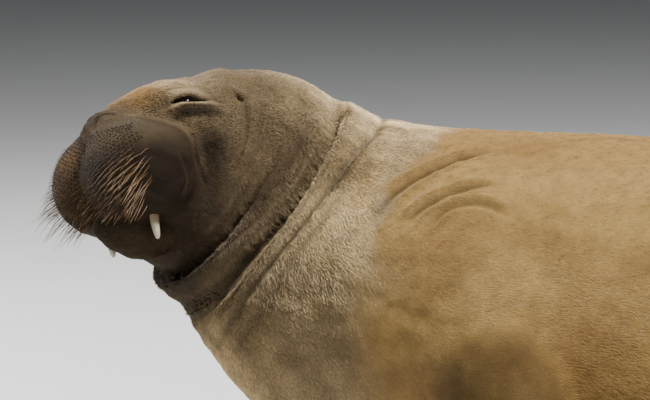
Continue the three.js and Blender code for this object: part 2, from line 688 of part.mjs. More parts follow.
// Frames from the cut behind the head to the middle of the face, then fanned round to the nose.
function headFrames() {
  const cut = sectionAt(CUTS.head - GAP / 2);
  const [forward, left, up] = [0, 1, 2].map((n) => new THREE.Vector3().setFromMatrixColumn(headFrame, n));
  const middle = point(FACE_CENTRE).applyMatrix4(headFrame);
  const rows = Array.from({ length: HEAD_ROWS }, (_, n) => {
    const t = n / (HEAD_ROWS - 1);
    const ahead = cut.tangent.clone().negate().lerp(forward, t).normalize();
    const side = cut.side.clone().lerp(left.clone().negate(), t).projectOnPlane(ahead).normalize();
    const size = (key, end) => THREE.MathUtils.lerp(cut[key], end, t);
    return {
      centre: cut.centre.clone().lerp(middle, t), ahead, side,
      up: new THREE.Vector3().crossVectors(side, ahead),
      wide: size("wide", 110), high: size("high", 100), deep: size("deep", 110), tilt: 0,
    };
  });
  return [...rows, ...fan(rows[HEAD_ROWS - 1], FACE_ROWS)];
}

// All that lies behind a plane across the spine.
function behind(distance) {
  const s = sectionAt(distance);
  const matrix = new THREE.Matrix4().makeBasis(s.side, s.up, s.tangent).setPosition(s.centre);
  return box([1200, 1200, 600], [0, 0, 300], matrix);
}

function headSolid() {
  let solid = lattice(body, headFrames(), { pole: true }).subtract(behind(CUTS.head - GAP / 2));
  for (const side of [1, -1]) solid = wasm.Manifold.union([solid, ...lids(side)]);
  for (const cutter of [grown(leftPad, GAP), grown(rightPad, GAP), grown(jawNet, GAP)])
    solid = solid.subtract(cutter);
  for (const side of [1, -1])
    for (const cutter of [tusk(side, GAP), eyeball(side, GAP), ...openings(side)]) solid = solid.subtract(cutter);
  return largest(solid);
}

const stations = ([from, to, step]) => stationsBetween(from + GAP / 2, to - GAP / 2, step);
const stretch = (run) => lattice(body, framesAt(stations(run)));

function rearStretch(from, out = 0) {
  const frames = framesAt(stationsBetween(from + GAP / 2, CUTS.tail, 92));
  return lattice(body, [...frames, ...fan(frames[frames.length - 1], TAIL_ROWS)], { out, pole: true });
}

const leftOf = (a) => mirrored(a);

// A limb in the frame of its hand or foot: the digits with their web, and the flesh on the bone above.
function limb({ digits, digit, frame, bone, grid, nails }, hollow) {
  const back = frame.clone().invert();
  const [from, to] = [bone.from, bone.to].map((a) => point(leftOf(a)).applyMatrix4(back));
  const field = (q) => blend(webbedPaw(q, digits, digit), taperedRod(q, from, to, ...bone.radius), 40);
  const n = net(field, grid);
  let solid = solidFrom(n.points.map((p) => p.applyMatrix4(frame)), n.faces).subtract(hollow);
  const claws = nails.map(({ angle, length }) => nail(frame, angle * DEGREE, length));
  solid = wasm.Manifold.union([largest(solid), ...claws]);
  return onFloor(solid);
}

// A small claw that lies along a digit, short of its tip, and stands a little proud of it.
function nail(frame, angle, length) {
  const [c, s] = [Math.cos(angle), Math.sin(angle)];
  const at = (r, z) => point([c * r, s * r, z]).applyMatrix4(frame);
  const start = length - NAIL.back;
  const path = [at(start, NAIL.low), at(start + NAIL.length * 0.6, NAIL.low + 3), at(start + NAIL.length, NAIL.low + 1)];
  return taperedTube(path, [NAIL.wide / 2, NAIL.wide * 0.42], 5, new THREE.Vector3(0, 0, 1));
}

function pawFrame(at, out, height) {
  return new THREE.Matrix4().makeRotationZ(-out).setPosition(at[0], -at[1], height);
}

const foreflipper = (hollow) => limb({
  digits: FINGERS,
  digit: FINGER,
  nails: FINGERS,
  frame: pawFrame(FOREARM.to, HAND.out, HAND.height),
  bone: FOREARM,
  grid: [lines(-280, [-60, 34], [390, 28]), lines(-190, [190, 23]), lines(-134, [-12, 40], [53, 13], [380, 32])],
}, hollow);

const hindflipper = (hollow) => limb({
  digits: TOES,
  digit: TOE,
  nails: TOES.slice(1, 4),
  frame: pawFrame(SHANK.to, FOOT.out, FOOT.height),
  bone: SHANK,
  grid: [lines(-260, [-30, 34], [420, 30]), lines(-190, [190, 23]), lines(-134, [-12, 40], [48, 12], [190, 26])],
}, hollow);

const CHEST_RUN = [CUTS.neck, CUTS.chest, 46];
const neck = onFloor(stretch([CUTS.head, CUTS.neck, 24]));
const chest = onFloor(stretch(CHEST_RUN));
const belly = onFloor(stretch([CUTS.chest, CUTS.belly, 80]));
const rump = onFloor(rearStretch(CUTS.belly));
const chestHollow = lattice(body,
  framesAt([CUTS.neck - 60, ...stations(CHEST_RUN), CUTS.chest + 60]), { out: GAP });
const rumpHollow = rearStretch(CUTS.belly, GAP);

function tail(hollow) {
  const n = net((p) => ellipsoid(p, TAIL.at, TAIL.half),
    [lines(2240, [2450, 25]), lines(-66, [66, 20]), lines(34, [120, 15])]);
  return largest(solidFrom(n.points, n.faces).subtract(hollow));
}

const mirrorY = (solid) => solid.mirror([0, 1, 0]);

const padLeft = padWithWhiskers(leftPad, 1);
const padRight = padWithWhiskers(rightPad, -1);
const jawSolid = largest([grown(leftPad, GAP), grown(rightPad, GAP), tusk(1, GAP), tusk(-1, GAP)]
  .reduce((solid, cutter) => solid.subtract(cutter), solidFrom(jawNet.points, jawNet.faces)));
const flipperLeft = foreflipper(chestHollow);
const hindLeft = hindflipper(rumpHollow);

const pieces = [
  ["head", headSolid(), COLOURS.face],
  ["muzzle_left", padLeft, COLOURS.pad],
  ["muzzle_right", padRight, COLOURS.pad],
  ["lower_jaw", jawSolid, COLOURS.face],
  ["tusk_left", tusk(1, 0), COLOURS.ivory],
  ["tusk_right", tusk(-1, 0), COLOURS.ivory],
  ["eye_left", eyeball(1, 0), COLOURS.eye],
  ["eye_right", eyeball(-1, 0), COLOURS.eye],
  ["neck", neck, COLOURS.coat],
  ["chest", chest, COLOURS.coat],
  ["belly", belly, COLOURS.coat],
  ["rump", rump, COLOURS.coat],
  ["tail", tail(rumpHollow), COLOURS.coat],
  ["foreflipper_left", flipperLeft, COLOURS.flipper],
  ["foreflipper_right", mirrorY(flipperLeft), COLOURS.flipper],
  ["hindflipper_left", hindLeft, COLOURS.flipper],
  ["hindflipper_right", mirrorY(hindLeft), COLOURS.flipper],
];

function meshOf(solid, look, name) {
  const m = solid.getMesh();
  const g = new THREE.BufferGeometry();
  g.setAttribute("position", new THREE.BufferAttribute(m.vertProperties, 3));
  g.setIndex(new THREE.BufferAttribute(m.triVerts, 1));
  g.computeVertexNormals();
  const mesh = new THREE.Mesh(g, new THREE.MeshStandardMaterial(look));
  mesh.name = name;
  return mesh;
}

// The part's own origin is the middle of its footprint on the floor.
const walrus = new THREE.Group();
walrus.name = "walrus";
for (const [name, solid, look] of pieces) walrus.add(meshOf(solid, look, name));
const extent = new THREE.Box3().setFromObject(walrus);
const middle = extent.getCenter(new THREE.Vector3());
walrus.position.set(-middle.x, -middle.y, 0);

export default walrus;
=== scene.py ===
"""A young walrus cow at life size, dressed as a museum shows her.

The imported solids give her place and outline. Her hide is one skin that lies a coat's depth inside them,
drawn from the same spine, folds and rounded masses. Her shapes are worked out in millimetres of her design
frame, in which she faces -X and her left side faces -Y, and every mesh is made in the scene's metres.
"""

import logging
import math
from dataclasses import dataclass, field
from enum import Enum
from typing import ClassVar

import bpy
import numpy as np
from mathutils import Matrix, Vector


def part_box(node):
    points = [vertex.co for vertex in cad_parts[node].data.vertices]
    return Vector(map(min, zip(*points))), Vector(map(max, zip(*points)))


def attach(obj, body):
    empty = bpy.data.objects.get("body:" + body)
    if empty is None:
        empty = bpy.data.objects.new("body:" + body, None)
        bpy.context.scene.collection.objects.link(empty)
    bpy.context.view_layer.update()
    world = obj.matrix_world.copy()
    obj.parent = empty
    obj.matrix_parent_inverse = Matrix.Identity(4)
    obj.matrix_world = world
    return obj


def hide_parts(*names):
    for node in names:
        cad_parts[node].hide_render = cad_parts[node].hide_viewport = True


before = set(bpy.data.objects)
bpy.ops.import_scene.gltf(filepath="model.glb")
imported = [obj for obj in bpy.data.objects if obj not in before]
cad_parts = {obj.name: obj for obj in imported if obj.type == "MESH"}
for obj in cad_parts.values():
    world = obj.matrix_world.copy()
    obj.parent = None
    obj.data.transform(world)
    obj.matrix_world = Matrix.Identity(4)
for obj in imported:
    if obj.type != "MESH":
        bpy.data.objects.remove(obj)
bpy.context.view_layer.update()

MM = 0.001
Array = np.ndarray
log = logging.getLogger("walrus")

# How many places are worked on at a time, to keep the memory small.
SPINE_BATCH = 40000
GROOVE_BATCH = 20000

# Round the throat the folds are shallower: at which angle of the section, over what spread, and by how much.
THROAT_ANGLE = 275
THROAT_SPREAD = 36
THROAT_EASE = 0.55

EYES = ("eye_left", "eye_right")
TUSKS = ("tusk_left", "tusk_right")
PADS = ("muzzle_left", "muzzle_right")
FLESH = ("head", *PADS, "lower_jaw", "neck", "chest", "belly", "rump", "tail", "foreflipper_left",
         "foreflipper_right", "hindflipper_left", "hindflipper_right")


class Side(Enum):
    """Her two sides, as the sign of the head frame's second axis."""

    LEFT = 1
    RIGHT = -1


def unit(v: Array) -> Array:
    """The same directions at length one."""
    return v / np.maximum(np.linalg.norm(v, axis=-1, keepdims=True), 1e-9)


def ramp(low: float, high: float, x: Array) -> Array:
    """A smooth step from 0 at low to 1 at high."""
    t = np.clip((x - low) / (high - low), 0, 1)
    return t * t * (3 - 2 * t)


def bump(x: Array, middle: float, spread: float) -> Array:
    """A smooth hill of height 1 at the middle."""
    return np.exp(-(((x - middle) / spread) ** 2))


def blend(a: Array, b: Array, k: float) -> Array:
    """Joins two fields with a fillet of breadth k between them."""
    h = np.maximum(k - np.abs(a - b), 0) / k
    return np.minimum(a, b) - h * h * k / 4


def rod(p: Array, start: Array, end: Array, radii: tuple[float, float]) -> Array:
    """Distance to a rod that tapers from one radius to another.

    Args:
        p: Places.
        start: One end of its axis.
        end: The other end.
        radii: The radius at each end.

    Returns:
        One distance for each place, negative inside.
    """
    span = end - start
    t = np.clip((p - start) @ span / (span @ span), 0, 1)
    nearest = start + t[:, None] * span
    return np.linalg.norm(p - nearest, axis=1) - (radii[0] + (radii[1] - radii[0]) * t)


@dataclass(frozen=True)
class Mass:
    """A rounded mass of flesh: the middle of an ellipsoid and half its size each way."""

    at: tuple[float, float, float]
    half: tuple[float, float, float]

    def field(self, q: Array, side: int = 1) -> Array:
        """Nearly the distance to its surface, negative inside.

        Args:
            q: Places in its frame.
            side: -1 for the same mass on the other side.

        Returns:
            One value for each place.
        """
        at = np.array(self.at, float) * (1, side, 1)
        scaled = (q - at) / self.half
        near = np.linalg.norm(scaled, axis=1)
        slope = np.linalg.norm(scaled / self.half, axis=1)
        return near * (near - 1) / np.maximum(slope, 1e-9)


@dataclass(frozen=True)
class Waves:
    """Smooth noise without a texture: a sum of plane waves in seeded directions."""

    length: float
    seed: int
    count: int = 14

    def at(self, p: Array) -> Array:
        """The noise at each place, mostly between -1 and 1."""
        draw = np.random.default_rng(self.seed)
        total = np.zeros(len(p))
        for _ in range(self.count):
            direction = unit(draw.normal(size=3))
            pace = 2 * math.pi / (self.length * draw.uniform(0.7, 1.5))
            total += np.sin(p @ direction * pace + draw.uniform(0, 2 * math.pi))
        return total / math.sqrt(self.count)


@dataclass(frozen=True)
class Fold:
    """A fold of skin round the neck.

    at is how far down the spine it lies on her right side, nape, left side and throat. deepest is the angle
    round the section where it is deepest, 0 at her right side and 90 at the nape, and reach is how far from
    there it fades out.
    """

    at: tuple[float, float, float, float]
    depth: float
    breadth: float
    deepest: float
    reach: float

    def centre(self, angle: Array) -> Array:
        """Where it lies down the spine at each angle in degrees."""
        right, nape, left, throat = self.at
        turn = np.radians(angle)
        return ((right + nape + left + throat) / 4 + (right - left) / 2 * np.cos(turn)
                + (nape - throat) / 2 * np.sin(turn) + (right + left - nape - throat) / 4 * np.cos(2 * turn))

    def fade(self, angle: Array) -> Array:
        """How strong it is at each angle, from 0 to 1."""
        turned = np.abs((angle - self.deepest + 180) % 360 - 180)
        strength = np.where(turned < self.reach, np.cos(np.clip(turned / self.reach, 0, 1) * math.pi / 2), 0)
        return strength**0.8 * (1 - THROAT_EASE * bump(angle, THROAT_ANGLE, THROAT_SPREAD))


@dataclass
class Trunk:
    """The trunk and neck: a tube of changing section round the spine, with the folds drawn in."""

    # Centre, half width, height over the centre, depth under it, and how square the section is.
    stations: tuple[tuple, ...] = (
        (232, -36, 545, 150, 150, 170, 2),
        (302, -14, 506, 203, 203, 208, 2),
        (366, 0, 450, 236, 226, 229, 2.05),
        (470, 0, 385, 290, 243, 288, 2.1),
        (650, 0, 312, 362, 286, 345, 2.2),
        (950, 0, 256, 420, 320, 276, 2.3),
        (1340, 0, 238, 425, 306, 258, 2.35),
        (1700, 0, 198, 352, 262, 216, 2.3),
        (1990, 0, 146, 248, 186, 160, 2.2),
        (2190, 0, 108, 160, 112, 116, 2.1),
        (2306, 0, 82, 64, 44, 50, 2),
    )
    folds: tuple[Fold, ...] = (
        Fold((80, 80, 88, 55), 20, 14, 228, 112),
        Fold((96, 96, 96, 96), 7, 8, 150, 22),
        Fold((145, 122, 152, 160), 23, 17, 203, 112),
        Fold((230, 262, 211, 222), 9, 22, 170, 100),
    )
    end_cap: float = 46
    samples: int = 240

    def __post_init__(self) -> None:
        """Samples the spine closely, with the section at each sample."""
        rows = np.array(self.stations, float)
        points = rows[:, :3]
        knots = np.vstack([2 * points[0] - points[1], points, 2 * points[-1] - points[-2]])
        place = np.linspace(0, len(points) - 1, self.samples + 1)
        i = np.minimum(place.astype(int), len(points) - 2)
        t = (place - i)[:, None]
        a, b, c, d = (knots[i + n] for n in range(4))
        spans = ((a, b), (b, c), (c, d))
        d0, d1, d2 = (np.linalg.norm(v - u, axis=1, keepdims=True) ** 0.5 for u, v in spans)
        m1 = ((b - a) / d0 - (c - a) / (d0 + d1) + (c - b) / d1) * d1
        m2 = ((c - b) / d1 - (d - b) / (d1 + d2) + (d - c) / d2) * d1
        square, cube = -3 * b + 3 * c - 2 * m1 - m2, 2 * b - 2 * c + m1 + m2
        self.centre = b + m1 * t + square * t**2 + cube * t**3
        self.tangent = unit(m1 + 2 * square * t + 3 * cube * t**2)
        self.side = unit(np.cross((0, 0, 1), self.tangent))
        self.up = np.cross(self.tangent, self.side)
        steps = np.linalg.norm(np.diff(self.centre, axis=0), axis=1)
        self.distance = np.concatenate([[0], np.cumsum(steps)])
        around = [np.clip(i + n, 0, len(points) - 1) for n in (-1, 0, 1, 2)]
        e, f, g, h = (rows[n][:, 3:] for n in around)
        self.section = 0.5 * (2 * f + (g - e) * t + (2 * e - 5 * f + 4 * g - h) * t**2
                              + (3 * f - e - 3 * g + h) * t**3)

    def read(self, table: Array, distance: Array) -> Array:
        """Columns of a table of samples at each distance down the spine."""
        return np.stack([np.interp(distance, self.distance, column) for column in table.T], axis=-1)

    def locate(self, p: Array) -> tuple[Array, Array, Array]:
        """Finds places along and round the spine.

        Args:
            p: Places in the design frame.

        Returns:
            The distance down the spine, the angle round it in degrees, and the plain tube's field.
        """
        near = np.empty(len(p), int)
        for start in range(0, len(p), SPINE_BATCH):
            part = slice(start, start + SPINE_BATCH)
            near[part] = np.argmin((self.centre**2).sum(1)[None] - 2 * p[part] @ self.centre.T, axis=1)
        offset = p - self.centre[near]
        distance = self.distance[near] + (offset * self.tangent[near]).sum(1)
        offset = p - self.read(self.centre, distance)
        across = (offset * unit(self.read(self.side, distance))).sum(1)
        above = (offset * unit(self.read(self.up, distance))).sum(1)
        wide, high, deep, square = self.read(self.section, distance).T
        past = np.maximum(0, np.maximum(-distance, distance - self.distance[-1]))
        tall = np.where(above > 0, high, deep)
        norm = (np.abs(across / wide) ** square + np.abs(above / tall) ** square
                + (past / self.end_cap) ** square) ** (1 / square)
        angle = np.degrees(np.arctan2(above / tall, across / wide)) % 360
        return distance, angle, (norm - 1) * np.minimum(wide, tall)

    def folded(self, p: Array) -> Array:
        """How deep the folds and the valleys round them press the skin in.

        Args:
            p: Places on the skin.

        Returns:
            One depth for each place.
        """
        distance, angle, _ = self.locate(p)
        depth, valley = np.zeros(len(p)), np.zeros(len(p))
        for fold in self.folds:
            off = distance - fold.centre(angle)
            fade = fold.fade(angle)
            sharp = np.exp(-(np.sqrt(off**2 + 25) - 5) / fold.breadth)
            depth = np.maximum(depth, 0.75 * fold.depth * fade * sharp)
            valley = np.maximum(valley, 0.4 * fold.depth * fade * np.exp(-((off / 27) ** 2)))
        return depth + valley


@dataclass
class Head:
    """The skull, face, whisker pads and lower jaw, in a frame that runs forward, to her left and up."""

    middle: tuple[float, float, float] = (186, -66, 602)
    yaw: float = 42
    roll: float = 19
    pitch: float = 3
    skull: tuple[Mass, ...] = (
        Mass((-62, 0, -19), (128, 104, 92)),
        Mass((14, 0, -12), (88, 76, 65)),
        Mass((64, 0, -34), (76, 58, 56)),
        Mass((76, 0, -98), (60, 80, 70)),
        Mass((-30, 0, -150), (104, 104, 84)),
    )
    cheeks: tuple[Mass, ...] = (
        Mass((-18, 68, -92), (92, 66, 88)),
        Mass((10, 66, 12), (42, 26, 24)),
        Mass((-86, 86, -120), (86, 58, 84)),
    )
    nose: Mass = Mass((112, 0, -14), (34, 46, 27))
    lips: tuple[Mass, ...] = (Mass((110, 0, -178), (54, 48, 36)), Mass((68, 0, -192), (64, 54, 44)))
    # Her left pad is drawn across the middle as she purses her lips.
    lobes: tuple[tuple[Mass, ...], tuple[Mass, ...]] = (
        (Mass((117, 39, -98), (67, 80, 75)), Mass((66, 76, -108), (62, 52, 72)),
         Mass((104, 44, -60), (46, 52, 40))),
        (Mass((114, 57, -98), (66, 64, 75)), Mass((66, 76, -108), (62, 52, 72)),
         Mass((104, 50, -60), (46, 46, 40))),
    )
    fillet: float = 40
    eye: tuple[float, float] = (4, 6)
    slit: tuple[float, float] = (10, 10)
    tusk_tip: tuple[float, float, float] = (99, 60, -215)

    def __post_init__(self) -> None:
        """Turns the head's axes from facing -X by yaw, roll and pitch."""
        yaw, roll, pitch = (math.radians(a) for a in (self.yaw, self.roll, self.pitch))
        forward = np.array([-math.cos(yaw), -math.sin(yaw), 0])
        level = np.array([math.sin(yaw), -math.cos(yaw), 0])
        left = level * math.cos(roll) + np.array([0, 0, math.sin(roll)])
        up = np.cross(forward, left)
        forward = forward * math.cos(pitch) + up * math.sin(pitch)
        self.axes = np.array([forward, left, np.cross(forward, left)])

    def to_head(self, p: Array) -> Array:
        """Places of the design frame in the head's frame."""
        return (p - self.middle) @ self.axes.T

    def to_design(self, q: Array) -> Array:
        """Places of the head's frame in the design frame."""
        return np.asarray(q, float) @ self.axes + self.middle

    def eye_place(self, q: Array) -> tuple[Array, Array, Array]:
        """Finds places beside an eye.

        Args:
            q: Places in the head's frame.

        Returns:
            How far along the slit and over it each lies, and how far it belongs to that cheek.
        """
        along = q[:, 0] - self.slit[0]
        over = q[:, 2] - self.slit[1] + 0.006 * (along - 3) ** 2
        near = (np.linalg.norm(q, axis=1) < 230) & (q[:, 0] > -130)
        return along, over, ramp(56, 76, np.abs(q[:, 1])) * near

    def face(self, q: Array) -> Array:
        """The skull and face without the pads and the jaw.

        Args:
            q: Places in the head's frame.

        Returns:
            The field, negative inside.
        """
        total = np.full(len(q), np.inf)
        for mass in self.skull:
            total = blend(total, mass.field(q), self.fillet)
        for mass in self.cheeks:
            total = blend(total, mass.field(q), self.fillet)
            total = blend(total, mass.field(q, -1), self.fillet)
        return blend(total, self.nose.field(q), 18)

    def pad(self, q: Array, side: int) -> Array:
        """One whisker pad."""
        front, rear, upper = (lobe.field(q, side) for lobe in self.lobes[side < 0])
        return blend(blend(front, rear, 30), upper, 24)

    def jaw(self, q: Array) -> Array:
        """The lower lip and chin."""
        return blend(self.lips[0].field(q), self.lips[1].field(q), 24)


@dataclass
class Paw:
    """A hand or foot with the flesh above it: digits as flat tapering rods with a web between them."""

    digits: tuple[tuple[float, float], ...]
    wide: tuple[float, float]
    thick: tuple[float, float]
    bone: tuple[tuple[float, float, float], tuple[float, float, float]]
    radii: tuple[float, float]
    out: float
    height: float
    fillet: float = 13
    sole: float = 0.45

    def to_paw(self, p: Array) -> Array:
        """Places of her left side in the paw's frame: along it, towards its leading edge, and up."""
        c, s = math.cos(math.radians(self.out)), math.sin(math.radians(self.out))
        x, y, _ = self.bone[1]
        d = p - (x, -y, self.height)
        return np.stack([c * d[:, 0] - s * d[:, 1], s * d[:, 0] + c * d[:, 1], d[:, 2]], axis=1)

    def to_design(self, q: Array) -> Array:
        """Places of the paw's frame on her left side."""
        c, s = math.cos(math.radians(self.out)), math.sin(math.radians(self.out))
        x, y, _ = self.bone[1]
        return np.stack([c * q[:, 0] + s * q[:, 1] + x, -s * q[:, 0] + c * q[:, 1] - y,
                         q[:, 2] + self.height], axis=1)

    def field(self, p: Array) -> Array:
        """The limb on her left side.

        Args:
            p: Places in the design frame.

        Returns:
            The field, negative inside.
        """
        q = self.to_paw(p)
        total = np.full(len(p), np.inf)
        height = np.where(q[:, 2] < 0, q[:, 2] * self.sole, q[:, 2])
        for angle, length in self.digits:
            c, s = math.cos(math.radians(angle)), math.sin(math.radians(angle))
            x, y = q[:, 0] * c + q[:, 1] * s, -q[:, 0] * s + q[:, 1] * c
            t = np.clip(x / length, 0, 1)
            wide = self.wide[0] + (self.wide[1] - self.wide[0]) * t
            thick = self.thick[0] + (self.thick[1] - self.thick[0]) * t
            norm = np.sqrt(((x - t * length) / wide) ** 2 + (y / wide) ** 2 + (height / thick) ** 2)
            total = blend(total, (norm - 1) * thick, self.fillet)
        start, end = (np.array(a, float) * (1, -1, 1) for a in self.bone)
        return blend(total, rod(p, start, end, self.radii), 40)


@dataclass
class Body:
    """All her flesh as one field, negative inside."""

    trunk: Trunk = field(default_factory=Trunk)
    head: Head = field(default_factory=Head)
    hand: Paw = field(default_factory=lambda: Paw(
        digits=((22, 322), (10, 338), (-3, 316), (-16, 284), (-29, 238)), wide=(44, 26), thick=(38, 13),
        bone=((736, 356, 214), (812, 430, 50)), radii=(98, 52), out=36, height=13))
    foot: Paw = field(default_factory=lambda: Paw(
        digits=((20, 366), (9.5, 324), (0, 302), (-9.5, 316), (-20, 352)), wide=(40, 25), thick=(34, 12),
        bone=((2146, 146, 78), (2268, 176, 44)), radii=(76, 44), out=15, height=12))
    shoulder: Mass = Mass((705, 262, 330), (190, 108, 172))
    upper_arm: Mass = Mass((704, 318, 296), (118, 96, 170))
    haunch: Mass = Mass((2090, 128, 92), (160, 92, 96))
    tail: Mass = Mass((2344, 0, 76), (84, 46, 27))
    head_reach: float = 640
    floor: float = 0.6
    sag: float = 14

    def torso(self, p: Array) -> Array:
        """The trunk with shoulders, upper arms and haunches under its skin.

        Args:
            p: Places in the design frame.

        Returns:
            The field, negative inside.
        """
        q = p * (1, -1, 1)
        q[:, 1] = np.abs(p[:, 1])
        total = blend(self.trunk.locate(p)[2], self.shoulder.field(q), 110)
        total = blend(total, self.upper_arm.field(q), 36)
        return blend(total, self.haunch.field(q), 80)

    def parts(self, p: Array) -> dict[str, Array]:
        """The torso with the head, the pads, the jaw and the limbs, each on its own.

        Args:
            p: Places in the design frame.

        Returns:
            The field of each under its name, and the breadth of the pads' fillet.
        """
        left = p.copy()
        left[:, 1] = -np.abs(p[:, 1])
        far = np.full(len(p), 1000.0)
        found = {"torso": self.torso(p), "jaw": far.copy(), "left": far.copy(), "right": far.copy(),
                 "hand": far.copy(), "foot": far.copy()}
        front = p[:, 0] < self.head_reach
        q = self.head.to_head(p[front])
        found["torso"][front] = blend(found["torso"][front], self.head.face(q), 70)
        found["jaw"][front] = self.head.jaw(q)
        found["left"][front] = self.head.pad(q, 1)
        found["right"][front] = self.head.pad(q, -1)
        found["fillet"] = np.full(len(p), 8.0)
        found["fillet"][front] += 26 * ramp(-78, -34, q[:, 2]) * ramp(8, 52, q[:, 0])
        arms = (p[:, 0] > 560) & (p[:, 0] < 1300)
        found["hand"][arms] = self.hand.field(left[arms])
        legs = p[:, 0] > 1900
        found["foot"][legs] = self.foot.field(left[legs])
        found["torso"][legs] = blend(found["torso"][legs], self.tail.field(p[legs]), 30)
        return found

    def field(self, p: Array) -> Array:
        """Her whole flesh as it rests on the floor.

        Args:
            p: Places in the design frame.

        Returns:
            The field, negative inside.
        """
        f = self.parts(p)
        pads = blend(f["left"], f["right"], 9)
        total = blend(f["torso"], pads, f["fillet"])
        total = blend(total, f["jaw"], 9)
        total = blend(total, f["hand"], 34)
        total = blend(total, f["foot"], 30)
        return -blend(-total, p[:, 2] - self.floor, self.sag)

    def slope(self, p: Array, step: float = 0.6) -> tuple[Array, Array]:
        """The field and its gradient, from four places round each.

        Args:
            p: Places in the design frame.
            step: How far off the four places are along each axis.

        Returns:
            The field and the gradient.
        """
        corners = np.array([(1, -1, -1), (-1, -1, 1), (-1, 1, -1), (1, 1, 1)], float)
        values = [self.field(p + corner * step) for corner in corners]
        gradient = sum(v[:, None] * corner for v, corner in zip(values, corners)) / (4 * step)
        return sum(values) / 4, gradient

    def draw_onto(self, p: Array, depth: Array | float, steps: int = 3,
                  most: float = 14) -> tuple[Array, Array]:
        """Moves places onto the skin, or a depth inside it.

        Args:
            p: Places near it.
            depth: How far inside the outline each is to lie.
            steps: How often each is moved.
            most: The longest move in one step.

        Returns:
            The places, and the skin's normals there.
        """
        for _ in range(steps):
            value, gradient = self.slope(p)
            length = np.maximum(np.linalg.norm(gradient, axis=1), 0.25)
            move = np.clip(-(value + depth) / length, -most, most)
            p = p + unit(gradient) * move[:, None]
        return p, unit(self.slope(p)[1])


class Frame(Enum):
    """How the places of a groove are given."""

    HEAD = "the head's frame on her left side"
    DESIGN = "the design frame on her left side"


@dataclass(frozen=True)
class Groove:
    """A crease of the skin: a run of places with its depth, its breadth and the swelling beside it."""

    places: tuple[tuple, ...]
    kind: Frame
    depth: float
    breadth: float
    swell: float = 0
    sides: tuple[Side, ...] = (Side.LEFT, Side.RIGHT)

    def run(self, body: Body, side: int) -> Array:
        """Its course on the skin, as closely spaced places.

        Args:
            body: The body it lies on.
            side: 1 for her left and -1 for her right.

        Returns:
            The places in the design frame.
        """
        knots = np.array(self.places, float) * (1, side, 1)
        if self.kind is Frame.HEAD:
            knots = body.head.to_design(knots)
        pace = np.concatenate([[0], np.cumsum(np.linalg.norm(np.diff(knots, axis=0), axis=1))])
        fine = np.linspace(0, pace[-1], max(3, int(pace[-1] / 4)))
        smooth = np.stack([np.interp(fine, pace, column) for column in knots.T], axis=1)
        for _ in range(12):
            smooth[1:-1] = (smooth[:-2] + 2 * smooth[1:-1] + smooth[2:]) / 4
        return body.draw_onto(smooth, 0.0, steps=4, most=40)[0]


